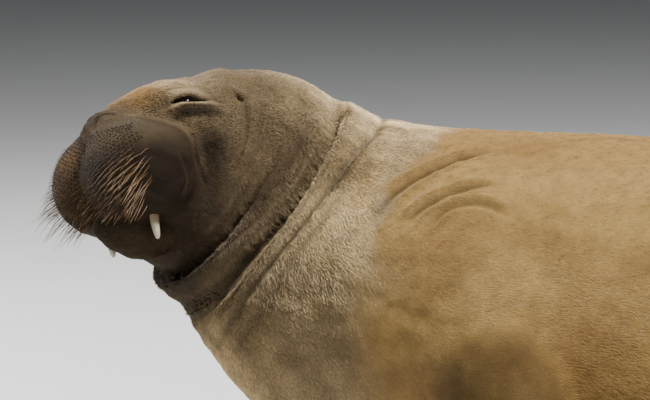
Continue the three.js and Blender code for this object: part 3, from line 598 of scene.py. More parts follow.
@dataclass
class Creases:
    """The creases of her skin, as her pose and her species have them."""

    body: Body
    grooves: tuple[Groove, ...] = (
        Groove(((-66, 146, 8), (-64, 149, -10), (-48, 161, -44), (-37, 165, -72), (-25, 163, -95),
                (-15, 158, -110), (-5, 151, -122)), Frame.HEAD, 11, 4.6, 4),
        Groove(((30, 110, -37), (32, 113, -45), (35, 121, -73), (39, 126, -100), (36, 125, -125),
                (28, 124, -144), (23, 123, -152)), Frame.HEAD, 7, 4.6, 3),
        Groove(((22, 126, -52), (24, 128, -66), (25, 131, -84), (26, 130, -110), (24, 128, -128)),
               Frame.HEAD, 4, 4, 2.5),
        Groove(((77, 124, -73), (74, 127, -86), (65, 129, -105), (61, 126, -125), (61, 123, -140),
                (65, 119, -149), (74, 110, -162)), Frame.HEAD, 7, 4.4, 3),
        Groove(((2, 138, -84), (-2, 140, -104), (-6, 142, -126)), Frame.HEAD, 5, 4, 2.5),
        Groove(((40, 94, -2), (36, 98, -12), (24, 106, -23), (6, 115, -24), (-12, 124, -14), (-22, 128, 0)),
               Frame.HEAD, 5, 3.4, 2),
        Groove(((526, -306, 450), (560, -277, 497), (619, -242, 533), (675, -198, 553), (748, -150, 568)),
               Frame.DESIGN, 9, 10, 5),
        Groove(((579, -332, 456), (618, -320, 488), (659, -311, 508), (701, -304, 520), (741, -297, 524)),
               Frame.DESIGN, 8, 8, 5),
        Groove(((622, -345, 461), (655, -335, 486), (692, -333, 495), (730, -341, 490), (753, -354, 475)),
               Frame.DESIGN, 7, 7, 4),
    )
    wrinkles: tuple[Fold, ...] = (
        Fold((80, 80, 88, 55), 9, 8, 228, 112),
        Fold((145, 122, 152, 160), 9, 8, 203, 112),
        Fold((96, 96, 96, 96), 6, 4.2, 150, 24),
        Fold((230, 262, 211, 222), 6, 7, 170, 100),
        Fold((110, 101, 116, 96), 4, 4.6, 192, 60),
        Fold((128, 110, 133, 132), 3.2, 4.4, 178, 46),
        Fold((172, 152, 176, 190), 5, 5.5, 178, 62),
        Fold((192, 190, 193, 204), 3.2, 5.5, 158, 46),
        Fold((58, 60, 64, 36), 4.5, 4.8, 196, 62),
        Fold((36, 42, 42, 20), 3.6, 5, 178, 50),
        Fold((255, 285, 240, 250), 3, 7, 190, 60),
    )

    def __post_init__(self) -> None:
        """Lays every groove out on the skin."""
        self.runs = [(groove, groove.run(self.body, side.value)) for groove in self.grooves
                     for side in groove.sides]

    def off_wrinkles(self, p: Array) -> list[tuple[Fold, Array, Array]]:
        """Measures places against every wrinkle.

        Args:
            p: Places on the skin.

        Returns:
            Each wrinkle, how far off it each place is in its breadths, and how strong it is there.
        """
        distance, angle, _ = self.body.trunk.locate(p)
        distance = distance + 2.5 * Waves(110, 41).at(p)
        return [(fold, np.abs(distance - fold.centre(angle)) / fold.breadth, fold.fade(angle))
                for fold in self.wrinkles]

    def nearest(self, p: Array, run: Array, reach: float) -> tuple[Array, Array, Array]:
        """Finds the places near a groove.

        Args:
            p: Places on the skin.
            run: The course of the groove.
            reach: How far round the run's box to look.

        Returns:
            The numbers of the places, how far off each is, and where along the run.
        """
        near = np.where(np.all((p > run.min(0) - reach) & (p < run.max(0) + reach), axis=1))[0]
        gaps, along = np.empty(len(near)), np.empty(len(near), int)
        for start in range(0, len(near), GROOVE_BATCH):
            part = slice(start, start + GROOVE_BATCH)
            apart = np.linalg.norm(p[near[part]][:, None] - run[None], axis=2)
            along[part] = apart.argmin(1)
            gaps[part] = apart.min(1)
        return near, gaps, along

    def close_by(self, p: Array) -> Array:
        """How far off the nearest groove or wrinkle is.

        Args:
            p: Places on the skin.

        Returns:
            The distance of each place in breadths of that groove.
        """
        apart = np.full(len(p), 99.0)
        for groove, run in self.runs:
            near, gaps, _ = self.nearest(p, run, 5 * groove.breadth)
            apart[near] = np.minimum(apart[near], gaps / groove.breadth)
        for _, d, fade in self.off_wrinkles(p):
            apart = np.where(fade > 0.1, np.minimum(apart, d), apart)
        return apart

    def press(self, p: Array) -> tuple[Array, Array]:
        """How far the grooves, wrinkles and folds move the skin.

        Args:
            p: Places on the skin.

        Returns:
            The move out along the normal, and how far into a crease each place is, from 0 to 1.
        """
        well, bank, inside = np.zeros(len(p)), np.zeros(len(p)), np.zeros(len(p))
        for groove, run in self.runs:
            near, gaps, along = self.nearest(p, run, 5 * groove.breadth)
            d = gaps / groove.breadth
            ends = np.minimum(along, len(run) - 1 - along) / (len(run) * 0.2)
            fade = ramp(0, 1, ends)
            well[near] = np.maximum(well[near], fade * groove.depth * np.exp(-(d**1.25)))
            bank[near] = np.maximum(bank[near], fade * groove.swell * np.exp(-((d - 2.2) ** 2)))
            shade = fade * np.exp(-((d / 1.1) ** 2)) * min(1, groove.depth / 9)
            inside[near] = np.maximum(inside[near], shade)
        for fold, d, fade in self.off_wrinkles(p):
            well = np.maximum(well, fade * fold.depth * np.exp(-0.8 * d**2))
            bank = np.maximum(bank, 0.35 * fade * fold.depth * np.exp(-((d - 2.3) ** 2)))
            inside = np.maximum(inside, fade * np.exp(-((d / 1.25) ** 2)) * min(1, fold.depth / 7))
        return bank * (1 - inside) - well - self.body.trunk.folded(p), inside


@dataclass
class Markings:
    """Where each colour lies, worked out from the place alone, so that skin and coat carry the same."""

    body: Body
    # dark and crease carry painted shade as well as dark hide, and pale carries a painted highlight as well
    # as frosted fur.
    names: tuple[str, ...] = ("tan", "dark", "gold", "pale", "bare", "crease")

    def at(self, p: Array, crease: Array) -> dict[str, Array]:
        """The strength of each marking.

        Args:
            p: Places on the skin.
            crease: How far into a crease each is.

        Returns:
            Values from 0 to 1 under each name.
        """
        distance, _, _ = self.body.trunk.locate(p)
        q = self.body.head.to_head(p)
        x, y, z = q[:, 0], np.abs(q[:, 1]), q[:, 2]
        parts = self.body.parts(p)
        pads = np.minimum(parts["left"], parts["right"])
        mottle = Waves(90, 3).at(p)
        patches = Waves(260, 5).at(p)
        front = 1 - ramp(240, 330, p[:, 0] - 0.2 * (p[:, 2] - 400))
        edge = np.interp(p[:, 2], (0, 451, 523, 582, 640), (500, 528, 561, 652, 800))
        spread = 1 + 4.5 * ramp(450, 300, p[:, 2]) + 3 * ramp(-40, 60, p[:, 1])
        tan = ramp(-18, 26, (p[:, 0] - edge + 10 * mottle + 7 * patches * (spread - 1)) / spread)
        limb = np.maximum(ramp(20, -10, parts["hand"]), ramp(20, -10, parts["foot"]))
        eye = np.hypot(x - self.body.head.eye[0], (z - self.body.head.eye[1]) * 1.25)
        muzzle = ramp(13, 2, pads) * ramp(-6, 26, x)
        lobe = muzzle * ramp(80, 106, y) * ramp(-26, -92, z + 14 * mottle)
        gold = front * bump(x, 62, 36) * bump(y, 26, 42) * ramp(-8, 20, z) * (0.85 + 0.25 * mottle)
        gold = gold + 0.2 * front * bump(x, 34, 14) * bump(z, -8, 14) * ramp(50, 70, y)
        # Painted light: her right (far) pad gets more amber than the near one, for light falling on it; the
        # amber itself is the pads' own colour.
        amber = (0.5 + 0.4 * (q[:, 1] < -8)) * muzzle * ramp(98, 132, x) * ramp(-24, -60, z)
        amber = amber * (1 - 0.85 * ramp(66, 92, y))
        # Painted light: her right pad's dark marking is weakened, for light falling on the far pad.
        far_pad_painted_light = 1 - 0.22 * (q[:, 1] < -8)
        gold = gold + 0.4 * tan * ramp(515, 575, p[:, 2])
        rim = ramp(8, -2, parts["jaw"]) * ramp(-176, -206, z)
        nose = front * bump(x, 128, 32) * bump(z, -2, 22) * bump(y, 0, 44)
        along, over, cheek = self.body.head.eye_place(q)
        ring = np.exp(-((along / 34) ** 4)) * cheek
        # Painted shade: the eye bag is darkened for the shade that falls under the lower lid.
        bag = np.exp(-(((along - 1) / 33) ** 4)) * cheek * np.exp(-(((over + 23) / 12) ** 4))
        # Painted highlight: a paler upper lid, a pale rim under the slit and a paler top of the head, where
        # light from above falls on them.
        painted_highlight = 0.4 * ring * bump(over, 12, 6) + 0.85 * ring * bump(over, -7.5, 2.4)
        painted_highlight = painted_highlight + 0.3 * front * bump(x, 10, 60) * ramp(14, 44, z)
        # Painted shade: the cheek behind the pads is darkened for the shade in the hollow there.
        behind = front * bump(x, 8, 38) * ramp(-30, -80, z) * ramp(80, 110, y)
        # Painted shade: the cleft between the pads and the mouth between pads and jaw are darkened for the
        # shade in them.
        cleft = ramp(30, 6, pads) * np.exp(-np.abs(parts["left"] - parts["right"]) / 5)
        mouth = front * ramp(24, 4, pads) * np.exp(-np.abs(pads - parts["jaw"]) / 4)
        # Painted shade: under darkens the underside of the head and throat the low side of the neck, where
        # light from above does not fall; jaw darkens the chin, partly the lip's own dark hide and partly
        # painted shade under the head.
        under = front * ramp(-50, -130, z) * 0.84
        jaw = 0.86 * ramp(6, -1, parts["jaw"]) * (1 - 0.75 * ramp(136, 158, x))
        throat = 0.4 * ramp(560, 470, p[:, 2]) * ramp(230, 150, distance)
        frost = ramp(30, 130, distance - 66 * ramp(650, 560, p[:, 2])) * (1 - tan)
        frost = frost * (0.62 + 0.12 * patches + 0.16 * mottle)
        # Painted light: the frost is raised low on the shoulder, which turns away from the light, and is
        # taken away from 470 mm down to 330 mm.
        frost = frost * (1 + 0.6 * ramp(560, 480, p[:, 2]) - 0.95 * ramp(470, 330, p[:, 2]))
        # The pads' own dark hide, paler towards the top, and lighter on her right pad as painted light.
        pad = muzzle * far_pad_painted_light * (0.93 - 0.4 * ramp(-84, -34, z))
        # Painted shade: the seam where the pads meet the face is darkened for the shade in it.
        seam = front * np.exp(-np.abs(pads - parts["torso"]) / 5)
        # The dark marking is the pads', lobes', limbs' and nose's own dark hide, with the painted shade of
        # the eye bags, cheeks, underside, chin and low neck.
        dark_hide_and_painted_shade = np.maximum.reduce([pad, lobe, 0.97 * bag, limb * 0.7, under, behind * 0.97, nose * 0.88,
                                     jaw, throat])
        barest = np.maximum.reduce([muzzle, lobe, nose, limb * 0.96, bump(eye, 0, 24) * front])
        # Painted shade: creases, openings, seams, the cleft and the mouth are darkened towards the crease
        # colour.
        deepest = np.maximum.reduce([crease, seam, cleft, mouth])
        return {
            "tan": np.clip(tan, 0, 1),
            "dark": np.clip(dark_hide_and_painted_shade, 0, 1),
            "gold": np.clip(gold + 0.22 * rim + amber, 0, 1),
            "pale": np.clip(np.maximum(painted_highlight, frost), 0, 1),
            "bare": np.clip(barest, 0, 1),
            "crease": np.clip(deepest, 0, 1),
        }


def to_scene(p: Array, origin: Array) -> Array:
    """Places of the design frame in the scene's metres."""
    return (p - origin) * MM


def mesh_object(name: str, points: Array, faces: Array, smooth: bool = True) -> bpy.types.Object:
    """Makes an object of faces that all have the same number of sides.

    Args:
        name: The object's name.
        points: Places in metres.
        faces: Rows of point numbers.
        smooth: Whether the faces are shaded smooth.

    Returns:
        The object, in the scene.
    """
    mesh = bpy.data.meshes.new(name)
    mesh.vertices.add(len(points))
    mesh.vertices.foreach_set("co", np.asarray(points, np.float32).ravel())
    sides = faces.shape[1]
    mesh.loops.add(faces.size)
    mesh.loops.foreach_set("vertex_index", np.asarray(faces, np.int32).ravel())
    mesh.polygons.add(len(faces))
    mesh.polygons.foreach_set("loop_start", np.arange(0, faces.size, sides, dtype=np.int32))
    mesh.update(calc_edges=True)
    mesh.shade_smooth() if smooth else mesh.shade_flat()
    thing = bpy.data.objects.new(name, mesh)
    bpy.context.scene.collection.objects.link(thing)
    return thing


def only(*things: bpy.types.Object) -> None:
    """Selects these objects and nothing else, with the first one active."""
    bpy.ops.object.select_all(action="DESELECT")
    for thing in things:
        thing.select_set(True)
    bpy.context.view_layer.objects.active = things[0]


def set_attribute(thing: bpy.types.Object, name: str, values: Array) -> None:
    """Stores one number for each point of a mesh."""
    attribute = thing.data.attributes.new(name, "FLOAT", "POINT")
    attribute.data.foreach_set("value", np.asarray(values, np.float32))


def points_of(thing: bpy.types.Object) -> Array:
    """The places of a mesh's points in metres."""
    co = np.empty(len(thing.data.vertices) * 3, np.float32)
    thing.data.vertices.foreach_get("co", co)
    return co.reshape(-1, 3).astype(float)


def tubes(paths: Array, radii: Array, sides: int) -> tuple[Array, Array, Array]:
    """Tapered tubes that end in a point.

    Args:
        paths: For each tube its rows of places, the last one its tip.
        radii: For each tube the radius of each row but the last.
        sides: How many sides a tube has.

    Returns:
        The points, the triangles, and for each point how far along its tube it is.
    """
    count, rows = paths.shape[:2]
    ahead = unit(np.gradient(paths, axis=1))
    across = unit(np.cross(ahead, np.array([0.31, 0.17, 0.93])))
    other = np.cross(ahead, across)
    turn = np.arange(sides) / sides * 2 * math.pi
    ring = (across[:, :-1, None] * np.cos(turn)[:, None] + other[:, :-1, None] * np.sin(turn)[:, None])
    rings = paths[:, :-1, None] + ring * radii[:, :, None, None]
    each = (rows - 1) * sides + 2
    points = np.concatenate([rings.reshape(count, -1, 3), paths[:, -1:], paths[:, :1]], axis=1)
    tip, root = each - 2, each - 1
    faces = []
    for row in range(rows - 2):
        for n in range(sides):
            a, b = row * sides + n, row * sides + (n + 1) % sides
            faces += [(a, b, a + sides), (b, b + sides, a + sides)]
    last = (rows - 2) * sides
    for n in range(sides):
        m = (n + 1) % sides
        faces += [(last + n, last + m, tip), (m, n, root)]
    all_faces = np.array(faces)[None] + (np.arange(count) * each)[:, None, None]
    along = np.concatenate([np.repeat(np.arange(rows - 1) / (rows - 1), sides), [1, 0]])
    return points.reshape(-1, 3), all_faces.reshape(-1, 3), np.tile(along, count)


# Shader nodes.


class Graph:
    """A short way to add nodes and links to a node tree."""

    def __init__(self, tree: bpy.types.NodeTree) -> None:
        """Keeps the tree that the nodes go into."""
        self.tree = tree

    def node(self, kind: str, **settings: object) -> bpy.types.Node:
        """Adds a node with its settings."""
        made = self.tree.nodes.new(kind)
        for key, value in settings.items():
            setattr(made, key, value)
        return made

    def link(self, source: bpy.types.NodeSocket, target: bpy.types.NodeSocket) -> None:
        """Joins two sockets."""
        self.tree.links.new(source, target)

    def feed(self, value: object, target: bpy.types.NodeSocket) -> None:
        """Links a socket, or sets a plain value."""
        if isinstance(value, bpy.types.NodeSocket):
            self.link(value, target)
        else:
            target.default_value = value

    def noise(self, scale: float, detail: float = 3, stretch: tuple = (1, 1, 1)) -> bpy.types.NodeSocket:
        """Noise on Object coordinates.

        Args:
            scale: How fine it is.
            detail: How many finer layers it has.
            stretch: The scale along each axis.

        Returns:
            The noise, about 0.5.
        """
        place = self.node("ShaderNodeTexCoord").outputs["Object"]
        mapping = self.node("ShaderNodeMapping")
        mapping.inputs["Scale"].default_value = stretch
        self.link(place, mapping.inputs["Vector"])
        noise = self.node("ShaderNodeTexNoise")
        noise.inputs["Scale"].default_value = scale
        noise.inputs["Detail"].default_value = detail
        self.link(mapping.outputs["Vector"], noise.inputs["Vector"])
        return noise.outputs["Fac"]

    def attribute(self, name: str) -> bpy.types.NodeSocket:
        """A number stored on the points of the mesh."""
        return self.node("ShaderNodeAttribute", attribute_name=name).outputs["Fac"]

    def math(self, operation: str, a: object, b: object = 0.0) -> bpy.types.NodeSocket:
        """Works out one operation on two numbers.

        Args:
            operation: The operation, as the Math node names it.
            a: The first number or socket.
            b: The second number or socket.

        Returns:
            The result.
        """
        made = self.node("ShaderNodeMath", operation=operation)
        self.feed(a, made.inputs[0])
        self.feed(b, made.inputs[1])
        return made.outputs[0]

    def span(self, value: object, low: float, high: float, start: float, end: float) -> bpy.types.NodeSocket:
        """Maps a number from one range to another, held at the ends.

        Args:
            value: The number or socket.
            low: Where the first range starts.
            high: Where it ends.
            start: Where the second range starts.
            end: Where it ends.

        Returns:
            The mapped number.
        """
        made = self.node("ShaderNodeMapRange")
        for target, number in zip(("Value", "From Min", "From Max", "To Min", "To Max"),
                                  (value, low, high, start, end)):
            self.feed(number, made.inputs[target])
        return made.outputs["Result"]

    def mix(self, factor: object, a: object, b: object, mode: str = "MIX") -> bpy.types.NodeSocket:
        """Mixes two colours.

        Args:
            factor: How much of the second.
            a: The first colour.
            b: The second colour.
            mode: How they are blended.

        Returns:
            The mixed colour.
        """
        made = self.node("ShaderNodeMix", data_type="RGBA", blend_type=mode)
        self.feed(factor, made.inputs["Factor"])
        self.feed(a, made.inputs[6])
        self.feed(b, made.inputs[7])
        return made.outputs[2]

    def bump(self, height: object, strength: float, distance: float,
             normal: bpy.types.NodeSocket | None = None) -> bpy.types.NodeSocket:
        """A bump from a height.

        Args:
            height: The height.
            strength: How strongly it shows.
            distance: The bump's depth in metres.
            normal: Another bump that it lies over.

        Returns:
            The normal.
        """
        made = self.node("ShaderNodeBump")
        made.inputs["Strength"].default_value = strength
        made.inputs["Distance"].default_value = distance
        self.feed(height, made.inputs["Height"])
        if normal is not None:
            self.link(normal, made.inputs["Normal"])
        return made.outputs["Normal"]


def rgb(red: float, green: float, blue: float) -> tuple[float, float, float, float]:
    """A colour with full alpha."""
    return (red, green, blue, 1.0)


@dataclass(frozen=True)
class HideColours:
    """The colours that her skin and coat share."""

    SOCKETS: ClassVar[tuple[str, ...]] = ("Tan", "Dark", "Gold", "Pale", "Crease")
    grey: tuple = rgb(0.122, 0.086, 0.048)
    tan: tuple = rgb(0.222, 0.138, 0.044)
    brown: tuple = rgb(0.165, 0.094, 0.029)
    # Dark hide, and the painted shade under the head and eyes, behind the pads and low on the neck.
    dark: tuple = rgb(0.014, 0.009, 0.005)
    gold: tuple = rgb(0.18, 0.092, 0.022)
    # Frosted fur, and the painted highlight on the lids and the top of the head.
    pale: tuple = rgb(0.50, 0.385, 0.22)
    # Painted shade in creases, openings and seams.
    crease: tuple = rgb(0.028, 0.017, 0.009)

    def group(self) -> bpy.types.NodeTree:
        """Builds the node group that turns the markings into a colour.

        Returns:
            A group with an input for each marking and for the tone, and a colour out.
        """
        tree = bpy.data.node_groups.new("walrus_colours", "ShaderNodeTree")
        for name in (*self.SOCKETS, "Tone"):
            socket = tree.interface.new_socket(name, in_out="INPUT", socket_type="NodeSocketFloat")
            socket.default_value = 0.5 if name == "Tone" else 0.0
        tree.interface.new_socket("Color", in_out="OUTPUT", socket_type="NodeSocketColor")
        g = Graph(tree)
        source = g.node("NodeGroupInput").outputs
        patches = g.span(g.noise(5.5, 4, (1, 1.5, 1.5)), 0.42, 0.66, 0, 1)
        torso = g.mix(patches, self.tan, self.brown)
        colour = g.mix(source["Tan"], self.grey, torso)
        colour = g.mix(source["Pale"], colour, self.pale)
        colour = g.mix(source["Gold"], colour, self.gold)
        colour = g.mix(source["Dark"], colour, self.dark)
        fleck = g.span(g.noise(34, 3), 0.3, 0.7, 0.86, 1.14)
        tone = g.math("MULTIPLY", fleck, g.span(source["Tone"], 0, 1, 0.72, 1.28))
        shade = g.node("ShaderNodeCombineColor")
        for n in range(3):
            g.link(tone, shade.inputs[n])
        colour = g.mix(1.0, colour, shade.outputs[0], "MULTIPLY")
        # Painted shade: the crease marking darkens its places towards the crease colour.
        colour = g.mix(g.math("MULTIPLY", source["Crease"], 0.88), colour, self.crease)
        g.link(colour, g.node("NodeGroupOutput").inputs["Color"])
        return tree

    @staticmethod
    def place(g: Graph, tree: bpy.types.NodeTree, tone: object) -> bpy.types.NodeSocket:
        """Puts the group into a material and feeds it the mesh's markings.

        Args:
            g: The material's graph.
            tree: The node group.
            tone: How light the fur is, from 0 to 1.

        Returns:
            The colour.
        """
        made = g.node("ShaderNodeGroup", node_tree=tree)
        for name in HideColours.SOCKETS:
            g.link(g.attribute(name.lower()), made.inputs[name])
        g.feed(tone, made.inputs["Tone"])
        return made.outputs["Color"]


def wrinkle_group() -> bpy.types.NodeTree:
    """Builds the node group for the height of wrinkled hide.

    Returns:
        A group with the wrinkles' scale and depth in and a height out.
    """
    tree = bpy.data.node_groups.new("wrinkled_hide", "ShaderNodeTree")
    for name, value in (("Scale", 60.0), ("Depth", 1.0)):
        tree.interface.new_socket(name, in_out="INPUT", socket_type="NodeSocketFloat").default_value = value
    tree.interface.new_socket("Height", in_out="OUTPUT", socket_type="NodeSocketFloat")
    g = Graph(tree)
    source = g.node("NodeGroupInput").outputs
    place = g.node("ShaderNodeTexCoord").outputs["Object"]
    cells = g.node("ShaderNodeTexVoronoi", feature="DISTANCE_TO_EDGE")
    drift = g.node("ShaderNodeTexNoise")
    g.link(place, drift.inputs["Vector"])
    drift.inputs["Scale"].default_value = 70
    pushed = g.node("ShaderNodeVectorMath", operation="MULTIPLY_ADD")
    g.link(drift.outputs["Color"], pushed.inputs[0])
    pushed.inputs[1].default_value = (0.012, 0.012, 0.012)
    g.link(place, pushed.inputs[2])
    g.link(pushed.outputs["Vector"], cells.inputs["Vector"])
    g.link(source["Scale"], cells.inputs["Scale"])
    fine = g.node("ShaderNodeTexNoise")
    g.link(place, fine.inputs["Vector"])
    g.link(g.math("MULTIPLY", source["Scale"], 2.3), fine.inputs["Scale"])
    fine.inputs["Detail"].default_value = 5
    cracks = g.span(cells.outputs["Distance"], 0, 0.14, 0, 1)
    height = g.math("ADD", g.math("MULTIPLY", cracks, 0.5), fine.outputs["Fac"])
    g.link(g.math("MULTIPLY", height, source["Depth"]), g.node("NodeGroupOutput").inputs["Height"])
    return tree


@dataclass(frozen=True)
class Finish:
    """One material: a Principled shader that each finish dresses in its own way."""

    NAME: ClassVar[str]
    ROUGHNESS: ClassVar[float] = 0.6

    def build(self) -> bpy.types.Material:
        """Makes the material.

        Returns:
            The material, ready for a mesh.
        """
        material = bpy.data.materials.new(self.NAME)
        material.use_nodes = True
        shader = material.node_tree.nodes["Principled BSDF"]
        g = Graph(material.node_tree)
        g.feed(self.ROUGHNESS, shader.inputs["Roughness"])
        self.dress(g, shader)
        return material

    def dress(self, g: Graph, shader: bpy.types.Node) -> None:
        """Adds the finish's own colours and bumps to the shader."""
        raise NotImplementedError


@dataclass(frozen=True)
class HideFinish(Finish):
    """Her skin, coloured by the markings: bare hide is wrinkled and a little shiny, the rest furred."""

    NAME: ClassVar[str] = "hide"
    colours: bpy.types.NodeTree
    wrinkles: bpy.types.NodeTree

    def dress(self, g: Graph, shader: bpy.types.Node) -> None:
        """Adds the shared colours, the wrinkles and the lie of the short fur."""
        bare = g.attribute("bare")
        tone = g.span(g.attribute("tan"), 0, 1, 0.25, 0.5)
        g.link(HideColours.place(g, self.colours, tone), shader.inputs["Base Color"])
        wrinkles = g.node("ShaderNodeGroup", node_tree=self.wrinkles)
        wrinkles.inputs["Scale"].default_value = 240
        g.link(g.span(bare, 0, 1, 0.22, 1), wrinkles.inputs["Depth"])
        fur = g.noise(420, 3, (0.22, 1, 1))
        normal = g.bump(wrinkles.outputs["Height"], 0.7, 0.0022)
        normal = g.bump(g.math("MULTIPLY", fur, g.span(bare, 0, 1, 1, 0.1)), 0.8, 0.003, normal)
        g.link(normal, shader.inputs["Normal"])
        g.link(g.span(bare, 0, 1, 0.8, 0.62), shader.inputs["Roughness"])
        shader.inputs["Specular IOR Level"].default_value = 0.06


@dataclass(frozen=True)
class CoatFinish(Finish):
    """Her short fur: dark at the roots and paler at the tips, partly its own colour and partly painted shade
    at the roots and painted highlight at the tips.
    """

    NAME: ClassVar[str] = "coat"
    ROUGHNESS: ClassVar[float] = 0.62
    colours: bpy.types.NodeTree

    def dress(self, g: Graph, shader: bpy.types.Node) -> None:
        """Adds the shared colours, speckled on grey fur and even on tan."""
        colour = HideColours.place(g, self.colours, g.attribute("tone"))
        tip = g.attribute("tip")
        # Painted highlight and painted shade: the tips are lightened and the roots darkened, strongly on the
        # grey fur and little on the tan.
        lit = g.mix(1.0, colour, rgb(2.2, 2.12, 1.95), "MULTIPLY")
        deep = g.mix(1.0, colour, rgb(0.36, 0.34, 0.32), "MULTIPLY")
        speckled = g.mix(tip, deep, lit)
        even = g.mix(tip, g.mix(1.0, colour, rgb(1.06, 1.05, 1.04), "MULTIPLY"),
                     g.mix(1.0, colour, rgb(1.2, 1.18, 1.14), "MULTIPLY"))
        g.link(g.mix(g.attribute("tan"), speckled, even), shader.inputs["Base Color"])
        shader.inputs["Specular IOR Level"].default_value = 0.25


@dataclass(frozen=True)
class WhiskerFinish(Finish):
    """Stiff whiskers: dark at the root, amber and then pale at the tip."""

    NAME: ClassVar[str] = "whisker"
    ROUGHNESS: ClassVar[float] = 0.35

    def dress(self, g: Graph, shader: bpy.types.Node) -> None:
        """Adds the colours along each whisker."""
        along = g.attribute("tip")
        amber = g.mix(g.span(along, 0.02, 0.35, 0, 1), rgb(0.022, 0.012, 0.006), rgb(0.130, 0.064, 0.022))
        pale = g.mix(g.attribute("tone"), rgb(0.12, 0.060, 0.022), rgb(0.42, 0.29, 0.14))
        g.link(g.mix(g.span(along, 0.35, 1, 0, 1), amber, pale), shader.inputs["Base Color"])


@dataclass(frozen=True)
class PitFinish(Finish):
    """The dark skin round the root of a whisker."""

    NAME: ClassVar[str] = "whisker_pit"
    ROUGHNESS: ClassVar[float] = 0.85

    def dress(self, g: Graph, shader: bpy.types.Node) -> None:
        """Adds a fine dark mottle."""
        g.link(g.mix(g.noise(400, 2), rgb(0.008, 0.005, 0.003), rgb(0.022, 0.014, 0.009)),
               shader.inputs["Base Color"])
        shader.inputs["Specular IOR Level"].default_value = 0.1


@dataclass(frozen=True)
class IvoryFinish(Finish):
    """Worn ivory with a fine grain, stained brown at the gum."""

    NAME: ClassVar[str] = "ivory"

    def dress(self, g: Graph, shader: bpy.types.Node) -> None:
        """Adds the grain and the stain."""
        grain = g.noise(260, 4, (1, 1, 0.12))
        base = g.mix(g.span(grain, 0.35, 0.65, 0, 1), rgb(0.30, 0.25, 0.185), rgb(0.41, 0.365, 0.29))
        gum = g.span(g.attribute("tip"), 0.45, 0.85, 1, 0)
        stain = g.math("MULTIPLY", gum, g.span(grain, 0.3, 0.6, 0.6, 1))
        g.link(g.mix(stain, base, rgb(0.22, 0.12, 0.05)), shader.inputs["Base Color"])
        g.link(g.span(grain, 0.3, 0.7, 0.28, 0.42), shader.inputs["Roughness"])
        g.link(g.bump(grain, 0.25, 0.0008), shader.inputs["Normal"])


@dataclass(frozen=True)
class EyeFinish(Finish):
    """A wet, nearly black eye."""

    NAME: ClassVar[str] = "eye"
    ROUGHNESS: ClassVar[float] = 0.12

    def dress(self, g: Graph, shader: bpy.types.Node) -> None:
        """Adds the faint mottle of the eye."""
        g.link(g.mix(g.noise(220, 3), rgb(0.0015, 0.001, 0.001), rgb(0.006, 0.004, 0.003)),
               shader.inputs["Base Color"])
        shader.inputs["Specular IOR Level"].default_value = 0.07


@dataclass(frozen=True)
class ClawFinish(Finish):
    """Dark horn, paler at the worn tip."""

    NAME: ClassVar[str] = "claw"
    ROUGHNESS: ClassVar[float] = 0.4

    def dress(self, g: Graph, shader: bpy.types.Node) -> None:
        """Adds the colours along each claw and the grain of the horn."""
        g.link(g.mix(g.attribute("tip"), rgb(0.035, 0.022, 0.014), rgb(0.22, 0.16, 0.10)),
               shader.inputs["Base Color"])
        g.link(g.bump(g.noise(300, 3, (0.2, 1, 1)), 0.3, 0.0006), shader.inputs["Normal"])


@dataclass(frozen=True)
class FloorFinish(Finish):
    """A plain pale floor."""

    NAME: ClassVar[str] = "floor"
    ROUGHNESS: ClassVar[float] = 0.8

    def dress(self, g: Graph, shader: bpy.types.Node) -> None:
        """Adds a faint mottle."""
        g.link(g.mix(g.noise(3, 2), rgb(0.56, 0.56, 0.55), rgb(0.60, 0.60, 0.59)),
               shader.inputs["Base Color"])


# Her parts.


